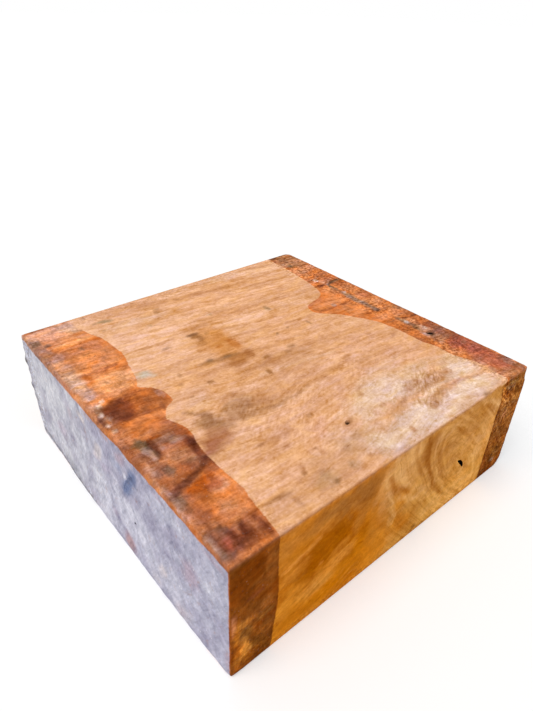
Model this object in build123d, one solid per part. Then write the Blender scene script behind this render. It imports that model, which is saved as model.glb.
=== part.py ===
from build123d import *
import os

# A squared blank for turning a shallow bowl, in millimetres. X runs along the grain, between the
# two waxed ends, Y runs across the grain and Z up from the sawn face that the blank lies on.
# The origin is the middle of that face. Left and right are -X and +X, near and far are -Y and +Y.
blank_length = 150.0
blank_width = 146.0
blank_thickness = 52.0

# The saw leaves square arrises, which handling rubs round.
arris_radius = 1.0

# Each worn corner is broken by one flat. A run is how far the flat reaches from the square
# corner along that axis.
near_left_bottom_run_x = 6.5
near_left_bottom_run_y = 2.6
near_left_bottom_run_z = 2.4
near_right_top_run_x = 2.6
near_right_top_run_y = 3.0
near_right_top_run_z = 5.5
near_right_bottom_run_x = 3.4
near_right_bottom_run_y = 3.0
near_right_bottom_run_z = 3.2
far_left_top_run_x = 2.8
far_left_top_run_y = 3.6
far_left_top_run_z = 2.8
far_left_bottom_run_x = 2.4
far_left_bottom_run_y = 4.6
far_left_bottom_run_z = 3.4
far_right_top_run_x = 2.2
far_right_top_run_y = 2.4
far_right_top_run_z = 2.0
far_right_bottom_run_x = 2.6
far_right_bottom_run_y = 2.6
far_right_bottom_run_z = 2.8

# Wane: near its right end the top arris of the near side is worn away. The worn flat starts at a
# point on the arris, runs down the near side to a break, and from there on to the right end.
wane_run = 32.5
wane_break_run = 17.6
wane_drop_at_break = 9.9
wane_drop_at_end = 8.6
wane_inset = 1.2

# A short curved check through the pith of a knot, in the near side.
check_from_right_end = 37.6
check_height = 21.8
check_length = 6.4
check_width = 1.5
check_bow = 0.5
check_depth = 9.0
check_tilt = -49.0

# A gash and a worm hole in the left end.
gash_from_near_side = 55.6
gash_below_top = 14.6
gash_length = 15.0
gash_width = 3.2
gash_depth = 1.0
gash_tilt = 56.0
worm_hole_from_near_side = 54.4
worm_hole_below_top = 32.6
worm_hole_width = 1.2
worm_hole_depth = 4.0

# A void beside the right end and a pit near the near side, both in the top face.
void_from_right_end = 9.4
void_from_near_side = 41.4
void_length = 4.4
void_width = 3.0
void_depth = 1.8
pit_from_right_end = 83.6
pit_from_near_side = 21.6
pit_length = 2.8
pit_width = 1.7
pit_depth = 1.0

# A chip out of the top arris of the left end.
chip_from_near_side = 72.4
chip_length = 5.0
chip_across_top = 1.8
chip_depth = 1.6

half_length = blank_length / 2
half_width = blank_width / 2

# Faces that carry marks. On the near side and the left end the second axis is the height.
near_side = Plane(origin=(0, -half_width, 0), x_dir=(1, 0, 0), z_dir=(0, -1, 0))
left_end = Plane(origin=(-half_length, 0, 0), x_dir=(0, -1, 0), z_dir=(-1, 0, 0))
top_face = Plane(origin=(0, 0, blank_thickness), x_dir=(1, 0, 0), z_dir=(0, 0, 1))


def sawn_block():
    flat_down = (Align.CENTER, Align.CENTER, Align.MIN)
    return Box(blank_length, blank_width, blank_thickness, align=flat_down)


def plane_through(first, second, third, outside):
    # The plane through three points, whose normal points to the side that outside lies on.
    normal = (second - first).cross(third - first)
    if normal.dot(outside - first) < 0:
        normal = normal * -1
    return Plane(origin=first, z_dir=normal)


def cut_corner(block, side_x, side_y, top, run_x, run_y, run_z):
    # Takes off what lies beyond the plane through one point on each edge of the corner.
    height = blank_thickness if top else 0
    corner = Vector(side_x * half_length, side_y * half_width, height)
    on_x_edge = corner - Vector(side_x * run_x, 0, 0)
    on_y_edge = corner - Vector(0, side_y * run_y, 0)
    on_z_edge = corner - Vector(0, 0, run_z if top else -run_z)
    flat = plane_through(on_x_edge, on_y_edge, on_z_edge, corner)
    return split(block, bisect_by=flat, keep=Keep.BOTTOM)


def break_corners(block):
    block = cut_corner(block, -1, -1, False, near_left_bottom_run_x, near_left_bottom_run_y,
                       near_left_bottom_run_z)
    block = cut_corner(block, 1, -1, True, near_right_top_run_x, near_right_top_run_y,
                       near_right_top_run_z)
    block = cut_corner(block, 1, -1, False, near_right_bottom_run_x, near_right_bottom_run_y,
                       near_right_bottom_run_z)
    block = cut_corner(block, -1, 1, True, far_left_top_run_x, far_left_top_run_y,
                       far_left_top_run_z)
    block = cut_corner(block, -1, 1, False, far_left_bottom_run_x, far_left_bottom_run_y,
                       far_left_bottom_run_z)
    block = cut_corner(block, 1, 1, True, far_right_top_run_x, far_right_top_run_y,
                       far_right_top_run_z)
    return cut_corner(block, 1, 1, False, far_right_bottom_run_x, far_right_bottom_run_y,
                      far_right_bottom_run_z)


def rub_arrises(block):
    return fillet(block.edges(), arris_radius)


def cut_wane(block):
    break_x = half_length - wane_break_run
    corner = Vector(half_length, -half_width, blank_thickness)
    start = Vector(half_length - wane_run, -half_width, blank_thickness)
    low_break = Vector(break_x, -half_width, blank_thickness - wane_drop_at_break)
    low_end = Vector(half_length, -half_width, blank_thickness - wane_drop_at_end)
    inset = Vector(break_x, wane_inset - half_width, blank_thickness)
    worn = block
    for flat in [plane_through(start, low_break, inset, corner),
                 plane_through(low_break, low_end, inset, corner)]:
        worn = split(worn, bisect_by=flat, keep=Keep.TOP)
    return block - worn


def hollow(length, width, depth):
    # An ellipsoid centred on the face that it is sunk in.
    return scale(Sphere(1), by=(length / 2, width / 2, depth))


def pith_check():
    half = check_length / 2
    middle_line = ThreePointArc((-half, -check_bow / 2), (0, check_bow / 2), (half, -check_bow / 2))
    outline = SlotArc(middle_line, check_width)
    cut = extrude(outline, check_depth, both=True)
    place = Location((half_length - check_from_right_end, check_height, 0), (0, 0, check_tilt))
    return near_side * place * cut


def end_gash():
    along = half_width - gash_from_near_side
    place = Location((along, blank_thickness - gash_below_top, 0), (0, 0, gash_tilt))
    return left_end * place * hollow(gash_length, gash_width, gash_depth)


def worm_hole():
    along = half_width - worm_hole_from_near_side
    place = Pos(along, blank_thickness - worm_hole_below_top)
    return left_end * place * hollow(worm_hole_width, worm_hole_width, worm_hole_depth)


def top_void():
    place = Pos(half_length - void_from_right_end, void_from_near_side - half_width)
    return top_face * place * hollow(void_length, void_width, void_depth)


def top_pit():
    place = Pos(half_length - pit_from_right_end, pit_from_near_side - half_width)
    return top_face * place * hollow(pit_length, pit_width, pit_depth)


def arris_chip():
    place = Pos(-half_length, chip_from_near_side - half_width)
    return top_face * place * hollow(2 * chip_across_top, chip_length, chip_depth)


def turning_blank():
    block = rub_arrises(break_corners(sawn_block()))
    block = cut_wane(block)
    block -= pith_check()
    block -= end_gash()
    block -= worm_hole()
    block -= top_void()
    block -= top_pit()
    block -= arris_chip()
    return block


os.makedirs("parts", exist_ok=True)
blank = turning_blank()
blank.label = "turning_blank"
export_step(blank, "parts/turning_blank.step")
print("turning_blank volume", round(blank.volume), "mm3")
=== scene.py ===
import math
import bpy
import numpy as np
from mathutils import Matrix, Vector


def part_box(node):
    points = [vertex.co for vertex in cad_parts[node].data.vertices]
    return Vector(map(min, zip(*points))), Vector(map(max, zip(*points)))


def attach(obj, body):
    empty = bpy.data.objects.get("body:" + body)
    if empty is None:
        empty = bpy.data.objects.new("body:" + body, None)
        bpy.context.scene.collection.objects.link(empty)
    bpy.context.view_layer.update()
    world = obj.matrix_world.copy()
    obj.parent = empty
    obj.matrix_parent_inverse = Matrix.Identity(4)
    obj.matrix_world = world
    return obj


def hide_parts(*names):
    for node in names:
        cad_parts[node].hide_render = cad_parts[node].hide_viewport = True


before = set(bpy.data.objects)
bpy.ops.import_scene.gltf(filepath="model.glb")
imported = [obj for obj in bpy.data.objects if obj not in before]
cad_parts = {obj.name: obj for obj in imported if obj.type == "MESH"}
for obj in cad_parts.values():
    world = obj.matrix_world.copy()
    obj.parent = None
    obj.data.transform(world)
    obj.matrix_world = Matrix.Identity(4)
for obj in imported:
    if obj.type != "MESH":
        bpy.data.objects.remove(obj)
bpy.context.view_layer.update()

mm = 0.001
nodeName = "turning_blank"
low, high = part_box(nodeName)
halfLength = (high.x - low.x) / 2
halfWidth = (high.y - low.y) / 2
thickness = high.z - low.z


# helpers for modelling

def selectOnly(piece):
    bpy.ops.object.select_all(action="DESELECT")
    bpy.context.view_layer.objects.active = piece
    piece.select_set(True)


def applyModifier(piece, kind, **settings):
    selectOnly(piece)
    modifier = piece.modifiers.new(kind.lower(), kind)
    for name, value in settings.items():
        setattr(modifier, name, value)
    bpy.ops.object.modifier_apply(modifier=modifier.name)


def addBox(name, lowCorner, highCorner):
    bpy.ops.object.select_all(action="DESELECT")
    middle = (Vector(lowCorner) + Vector(highCorner)) / 2
    size = Vector(highCorner) - Vector(lowCorner)
    bpy.ops.mesh.primitive_cube_add(size=1, location=middle, scale=size)
    bpy.ops.object.transform_apply(location=True, rotation=True, scale=True)
    box = bpy.context.object
    box.name = name
    return box


def cutFlat(piece, point, outward, keepOutside=False):
    # bisects in edit mode, closes the cut and drops one side
    selectOnly(piece)
    bpy.ops.object.mode_set(mode="EDIT")
    bpy.ops.mesh.select_all(action="SELECT")
    bpy.ops.mesh.bisect(plane_co=point, plane_no=outward, use_fill=True,
                        clear_outer=not keepOutside, clear_inner=keepOutside)
    bpy.ops.object.mode_set(mode="OBJECT")


def planeThrough(first, second, third, outside):
    normal = (second - first).cross(third - first).normalized()
    return first, normal if normal.dot(outside - first) > 0 else -normal


def smooth(value):
    value = np.clip(value, 0, 1)
    return value * value * (3 - 2 * value)


def ease(value, start, width):
    # 0 up to the start and 1 from a width further on
    return smooth((value - start) / width)


# the block: sawn faces, worn corners, wane, rubbed arrises, all in mm from the square corners

block = {
    "arris": 0.35,
    "arrisSteps": 3,
    "voxel": 0.92,
    "corners": [  # side in x, side in y, 1 at the top, runs along x, y and z
        (-1, -1, 0, (4.6, 1.4, 1.1)),
        (1, -1, 1, (1.2, 1.4, 3.0)),
        (1, -1, 0, (3.4, 3.0, 3.2)),
        (-1, 1, 1, (1.2, 1.6, 1.2)),
        (-1, 1, 0, (2.4, 4.6, 3.4)),
        (-1, 1, 0, (2.0, 2.2, 25.0)),
        (1, 1, 1, (2.2, 2.4, 2.0)),
        (1, 1, 0, (2.6, 2.6, 2.8)),
    ],
    "waneRun": 32.5,
    "waneBreakRun": 17.6,
    "waneDropAtBreak": 9.9,
    "waneDropAtEnd": 8.6,
    "waneInset": 1.2,
    "waneMargin": 5,
    "waneBeyond": 6,
    "smoothAngle": 50,
}


def wornCorner(piece, sideX, sideY, top, runs):
    corner = Vector((sideX * halfLength, sideY * halfWidth, high.z if top else low.z))
    steps = [Vector((-sideX * runs[0], 0, 0)), Vector((0, -sideY * runs[1], 0)),
             Vector((0, 0, -runs[2] if top else runs[2]))]
    point, outward = planeThrough(*[corner + step * mm for step in steps], corner)
    cutFlat(piece, point, outward)


def cutWane(piece):
    corner = Vector((halfLength, -halfWidth, high.z))
    breakX = halfLength - block["waneBreakRun"] * mm
    start = Vector((halfLength - block["waneRun"] * mm, -halfWidth, high.z))
    lowBreak = Vector((breakX, -halfWidth, high.z - block["waneDropAtBreak"] * mm))
    lowEnd = Vector((halfLength, -halfWidth, high.z - block["waneDropAtEnd"] * mm))
    inset = Vector((breakX, -halfWidth + block["waneInset"] * mm, high.z))
    reach = Vector((block["waneRun"] + block["waneMargin"], block["waneBeyond"],
                    block["waneDropAtBreak"] + block["waneMargin"])) * mm
    wedge = addBox("waneWedge", corner - reach, corner + Vector((reach.y, reach.y, reach.y)))
    for points in [(start, lowBreak, inset), (lowBreak, lowEnd, inset)]:
        point, outward = planeThrough(*points, corner)
        cutFlat(wedge, point, outward, keepOutside=True)
    applyModifier(piece, "BOOLEAN", operation="DIFFERENCE", object=wedge, solver="EXACT")
    bpy.data.objects.remove(wedge)


def makeBlock():
    piece = addBox("turning_blank_wood", low, high)
    for corner in block["corners"]:
        wornCorner(piece, *corner)
    selectOnly(piece)
    bpy.ops.object.mode_set(mode="EDIT")
    bpy.ops.mesh.select_all(action="SELECT")
    bpy.ops.mesh.bevel(offset=block["arris"] * mm, segments=block["arrisSteps"], affect="EDGES",
                       clamp_overlap=True)
    bpy.ops.object.mode_set(mode="OBJECT")
    cutWane(piece)
    applyModifier(piece, "REMESH", mode="VOXEL", voxel_size=block["voxel"] * mm, adaptivity=0)
    print("block", len(piece.data.polygons), "faces")
    return piece


# relief: saw ripple and lifted grain on the sawn faces, lumpy wax on the ends, chipped arrises

relief = {
    "saw": {"size": 22, "depth": 0.16, "rise": 0.6},
    "wax": {"size": 4.5, "depth": 0.45, "rise": 0.5},
    "waxFine": {"size": 1.8, "depth": 0.22, "rise": 0.5},
    "arris": {"size": 3.2, "depth": 0.6, "rise": 0.85},
    "octaves": 3,
    "groupSteps": 12,
    "endDepth": 0.8,
    "arrisReach": 2.2,
    "levelArris": 0.1,  # the arrises round the wide faces are less worn than the upright ones
    "uprightArris": 0.5,
    "crust": [  # dirt stuck to the far left arris: height, half height and thickness, in mm
        (39.5, 2.4, 0.9), (34.6, 1.2, 0.4), (26.6, 1.7, 0.8), (21.6, 1.1, 0.35), (45.6, 1.5, 0.35),
    ],
    "crustReach": 2.0,
    "crustLean": (-0.7, 0.7),
    "waxRun": 0.95,  # the wax ran down and is thicker low on the ends, in mm
    "waxRunHeight": 15.0,
    "waxRunWidth": 3.0,
    "waxRunFade": 0.85,
    "waxRunFadeFrom": (28, 24),
}


def pointsOf(piece):
    places = np.empty(len(piece.data.vertices) * 3)
    piece.data.vertices.foreach_get("co", places)
    return places.reshape(-1, 3)


def faceDepths(places):
    # how far each point lies inside each of the six sides, in mm, in the order of sides
    depths = np.stack([places[:, 0] - low.x, high.x - places[:, 0], places[:, 1] - low.y,
                       high.y - places[:, 1], places[:, 2] - low.z, high.z - places[:, 2]], axis=1)
    return depths / mm


def weigh(piece, name, weights):
    group = piece.vertex_groups.new(name=name)
    steps = np.round(np.clip(weights, 0, 1) * relief["groupSteps"]).astype(int)
    for step in range(1, relief["groupSteps"] + 1):
        chosen = np.nonzero(steps == step)[0].tolist()
        if chosen:
            group.add(chosen, step / relief["groupSteps"], "REPLACE")
    return group.name


def roughen(piece, name, weights, size, depth, rise):
    clouds = bpy.data.textures.new(name, "CLOUDS")
    clouds.noise_scale = size * mm
    clouds.noise_depth = relief["octaves"]
    clouds.noise_basis = "IMPROVED_PERLIN"
    applyModifier(piece, "DISPLACE", texture=clouds, texture_coords="LOCAL", strength=depth * mm,
                  mid_level=rise, vertex_group=weigh(piece, name, weights))


def addRelief(piece):
    depths = faceDepths(pointsOf(piece))
    nearest = np.sort(depths, axis=1)
    onEnd = np.where(depths[:, :2].min(axis=1) < relief["endDepth"], 1, 0)
    onArris = np.clip(1 - nearest[:, 1] / relief["arrisReach"], 0, 1)
    level = depths[:, 4:].min(axis=1) < relief["arrisReach"]
    onArris *= np.where(level, relief["levelArris"], relief["uprightArris"])
    roughen(piece, "sawRipple", 1 - onEnd, **relief["saw"])
    roughen(piece, "waxLumps", onEnd, **relief["wax"])
    roughen(piece, "waxGrain", onEnd, **relief["waxFine"])
    roughen(piece, "arrisWear", onArris, **relief["arris"])
    addCrust(piece)
    print("relief added")


def crustOn(place):
    # thickness of the dirt on the far left arris at each point, in mm
    away = np.hypot(place[:, 0] + halfLength / mm, place[:, 1] - halfWidth / mm)
    thick = np.zeros(len(place))
    for height, half, most in relief["crust"]:
        thick += most * np.exp(-((place[:, 2] - height) / half) ** 2)
    return thick * np.exp(-(away / relief["crustReach"]) ** 2)


def addCrust(piece):
    # the crust and the run of the wax, with nothing below the face that the blank lies on
    places = pointsOf(piece)
    places[:, :2] += crustOn(places / mm)[:, None] * np.array(relief["crustLean"]) * mm
    x, y, z = places.T
    nearEnd = smooth(1 - (halfLength - np.abs(x)) / (relief["waxRunWidth"] * mm))
    runDown = np.exp(-(z / (relief["waxRunHeight"] * mm)) ** 2) * (1 - (y / halfWidth) ** 4)
    runDown *= 1 - relief["waxRunFade"] * ease(y / mm, *relief["waxRunFadeFrom"])
    places[:, 0] += np.sign(x) * nearEnd * runDown * relief["waxRun"] * mm
    places[:, 2] = np.maximum(z, low.z)
    piece.data.vertices.foreach_set("co", places.ravel())
    piece.data.update()


# marks sunk in the faces: centre in mm, half sizes, turn in degrees about the face's own normal,
# and a tone of their own or the depths between which they go dark with painted shade

marks = {
    "check": {"at": (37.5, -73.0, 21.9), "half": (4.1, 0.82, 9.0), "normal": "y", "turn": -49,
              "bow": 0.25, "dark": (0.15, 0.4)},
    "gash": {"at": (-75.0, -17.4, 37.4), "half": (7.2, 1.5, 0.7), "normal": "x", "turn": 124,
             "tone": "waxInk"},
    "wormHole": {"at": (-75.0, -18.6, 19.4), "half": (1.0, 0.6, 4.0), "normal": "x", "turn": 124,
                 "dark": (0.0, 0.5)},
    "void": {"at": (65.6, -31.6, 52.0), "half": (2.2, 1.5, 1.8), "normal": "z", "turn": 0,
             "dark": (0.35, 1.3)},
    "pit": {"at": (-8.6, -51.4, 52.0), "half": (1.4, 0.85, 1.0), "normal": "z", "turn": 25,
            "dark": (0.2, 1.1)},
    "chip": {"at": (-75.0, -0.6, 52.0), "half": (1.8, 2.5, 1.6), "normal": "z", "turn": 0,
             "tone": "maroon"},
}
cutterSides = 28
cutterSteps = 3
# a mark's own axes: along its length, across it and into the wood
markAxes = {
    "x": Matrix(((0, 0, 1), (1, 0, 0), (0, 1, 0))),
    "y": Matrix(((1, 0, 0), (0, 0, -1), (0, 1, 0))),
    "z": Matrix.Identity(3),
}


def markTurn(normal, turn):
    return markAxes[normal] @ Matrix.Rotation(math.radians(turn), 3, "Z")


def markCutter(name, at, half, normal, turn, bow=0, tone=None, dark=None):
    bpy.ops.object.select_all(action="DESELECT")
    if bow:
        bpy.ops.mesh.primitive_cylinder_add(vertices=cutterSides, radius=1, depth=2)
    else:
        bpy.ops.mesh.primitive_ico_sphere_add(subdivisions=cutterSteps, radius=1)
    cutter = bpy.context.object
    cutter.name = name
    for vertex in cutter.data.vertices:
        vertex.co.y += bow * (1 - 2 * vertex.co.x ** 2) / half[1]
    sized = markTurn(normal, turn) @ Matrix.Diagonal(half)
    cutter.data.transform(Matrix.Translation(Vector(at) * mm) @ (sized * mm).to_4x4())
    return cutter


def cutMarks(piece):
    for name, mark in marks.items():
        cutter = markCutter(name, **mark)
        applyModifier(piece, "BOOLEAN", operation="DIFFERENCE", object=cutter, solver="EXACT")
        bpy.data.objects.remove(cutter)
    print("marks cut", len(piece.data.polygons), "faces")


# paint: colours as they look, 0 to 255, given once and used by name on every face

tones = {
    "peach": (231, 176, 132), "paleStraw": (243, 189, 147), "paleRose": (237, 189, 152),
    "rose": (224, 168, 129), "tan": (212, 153, 106), "wheat": (235, 175, 125), "lineBrown": (203, 141, 92),
    # the near black at the end of the next line is painted shade, laid inside the deeper marks
    "umber": (182, 118, 66), "bark": (160, 105, 62), "ink": (112, 74, 48), "holeShade": (26, 18, 14),
    "gold": (214, 143, 74), "deepGold": (196, 118, 50), "goldBrown": (168, 112, 62),
    "greyFigure": (168, 118, 80), "redFigure": (172, 108, 74), "moss": (168, 138, 100),
    "chalk": (208, 196, 174), "bloom": (223, 188, 163), "cream": (241, 206, 176),
    "dustyCream": (230, 189, 154), "curl": (190, 138, 98), "palest": (247, 220, 196), "clay": (226, 163, 131),
    "rust": (226, 142, 86), "orange": (250, 173, 117), "midOrange": (239, 155, 100),
    "brightOrange": (248, 158, 88), "salmon": (222, 149, 108), "brick": (208, 126, 84),
    "burntOrange": (204, 114, 54), "deepOrange": (180, 86, 26), "russet": (188, 106, 54),
    "tawny": (192, 132, 92), "umberRed": (172, 103, 68), "redBrown": (178, 92, 64), "crimson": (184, 98, 78),
    "maroon": (128, 66, 44), "darkMaroon": (94, 46, 32), "chestnut": (150, 80, 46),
    "greyMauve": (152, 118, 102), "residue": (212, 164, 141), "flake": (238, 218, 206), "dirt": (110, 88, 72),
    "dust": (174, 128, 97), "mossDark": (122, 96, 72), "amber": (191, 112, 20), "darkAmber": (158, 85, 2),
    "lightAmber": (203, 127, 42), "honey": (214, 158, 95), "sand": (199, 141, 73), "smoke": (162, 102, 43),
    "ringBrown": (164, 102, 40), "sideOrange": (212, 149, 80), "sideBrown": (116, 58, 12),
    "sideRust": (143, 80, 28), "sideTan": (163, 100, 46), "sideDeep": (124, 70, 20),
    "sideGold": (196, 118, 38), "sideLight": (214, 138, 56), "deepAmber": (188, 108, 2),
    "olive": (134, 90, 42), "knotTan": (188, 126, 58), "arrisGrey": (184, 138, 106),
    "arrisBrown": (150, 92, 60), "crust": (84, 76, 72), "waxBlue": (192, 191, 207),
    "waxDeep": (132, 142, 173), "waxInk": (108, 120, 155), "waxPale": (209, 208, 220),
    "waxCream": (208, 198, 201), "waxPink": (178, 158, 172), "waxLilac": (178, 168, 188),
    "waxMauve": (164, 160, 181), "waxRust": (184, 138, 122), "waxGrime": (96, 98, 106),
}

# painted areas: middle, half sizes, turn in degrees if any, tone, strength in per cent. Top face, x and y
# in mm
bareTopFields = [
    (-38, 67, 20, 6, "rose", 80), (0, 69, 14, 3.6, "peach", 80), (27, 69, 13, 4, "paleRose", 70),
    (-30, 54, 13, 3.4, -4, "paleRose", 80), (-38, 38, 15, 13, "paleStraw", 90),
    (-22, 46, 20, 5, -4, "peach", 70), (-20, 39, 9, 3, -5, "paleStraw", 60),
    (2, 38, 12, 2.6, -8, "lineBrown", 35), (28, 36, 16, 2.6, -6, "tan", 40),
    (8, 28, 13, 4.4, -5, "paleStraw", 80), (49, 28, 6, 5, "tan", 40), (-38, 21, 13, 4.4, -3, "paleStraw", 85),
    (28, 17, 18, 7, -5, "wheat", 80), (-50, 50, 4, 16, "paleStraw", 50), (14, 47, 26, 5, -4, "wheat", 50),
    (-30, 3, 8, 5, "tan", 35), (-14, -6, 7, 3.4, "tan", 80), (12, -7, 20, 4.6, -4, "tan", 60),
    (-46, -6, 7, 5, "rose", 60), (-42, -11, 5, 3, "paleRose", 50), (-21, -12, 8, 3, -4, "paleStraw", 45),
    (-14, -22, 10, 5, "tan", 60), (14, -22, 16, 4, -3, "rose", 50), (40, -20, 16, 9, 8, "rose", 45),
    (-30, -40, 20, 6, 8, "rose", 55), (-34, -44, 9, 3, 8, "tan", 55), (-50, -54, 6, 8, "paleStraw", 50),
    (10, -34, 26, 4, 6, "rose", 60), (40, -34, 14, 5, 2, "rose", 45), (-15, -55, 9, 6, 30, "rose", 35),
    (-28, -64, 18, 7, "tan", 45), (-12, -60, 8, 4, 10, "greyFigure", 30),
    # the pale wood round the knot
    (15, -44, 18, 6.5, 17, "dustyCream", 90), (19, -50, 10, 3.4, 14, "cream", 85),
    (34, -46, 12, 3.6, 4, "dustyCream", 80), (3, -50, 7, 4.6, 25, "dustyCream", 75),
    (52, -52, 7, 5.4, -10, "dustyCream", 90), (49, -58, 8, 2.6, -14, "cream", 90),
    (-2, -56, 6, 3, 20, "dustyCream", 60), (8, -66, 17, 7.4, 4, "bloom", 92),
    (-8, -66, 4, 5.6, 12, "bloom", 70), (42, -65, 14, 4, -4, "cream", 85), (26, -67, 8, 3, 6, "bloom", 60),
    (38, -70.6, 20, 2, 2, "bloom", 70), (30, -57.6, 5, 1.4, 6, "cream", 60), (-18, -47, 6, 3, 40, "clay", 30),
    (28, -51, 11, 5, 8, "cream", 35), (48, 64, 11, 5, "paleRose", 40), (2, -8, 12, 5.6, -6, "curl", 35),
    (-4, -15, 8, 3, -8, "tan", 40), (18, 26, 18, 5, -6, "paleStraw", 35), (28, 12, 10, 4, "paleStraw", 35),
    (-29, -62, 8, 6, "curl", 30), (-26, -27, 8, 5, "curl", 35), (0, -16, 14, 2.4, -6, "umber", 20),
    (-12, -62, 8, 6, 10, "dustyCream", 35), (28, -52, 9, 4, 6, "bloom", 35), (-54, 65, 5, 6, "paleStraw", 50),
    (-53, 13, 3, 6, "paleStraw", 40), (-22, 13, 12, 4, -4, "paleStraw", 30), (56, 26, 4, 14, "rose", 40),
    (-2, 0, 8, 3, -6, "tan", 40), (2, -26, 9, 4, 10, "tan", 35), (28, -38.6, 14, 2.6, 3, "rose", 40),
    (46, -37, 8, 4, "rose", 40), (14, -66, 12, 5.6, 4, "palest", 35), (44, -65.6, 13, 3, -4, "palest", 40),
    (52, -55, 6, 3.4, -20, "palest", 35), (14, -45, 10, 3, 20, "palest", 25),
    (-6, -66, 3, 4.6, 12, "palest", 30), (-30, 13, 10, 3, -4, "tan", 30), (-46, 66, 8, 3, "paleStraw", 40),
]
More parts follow.
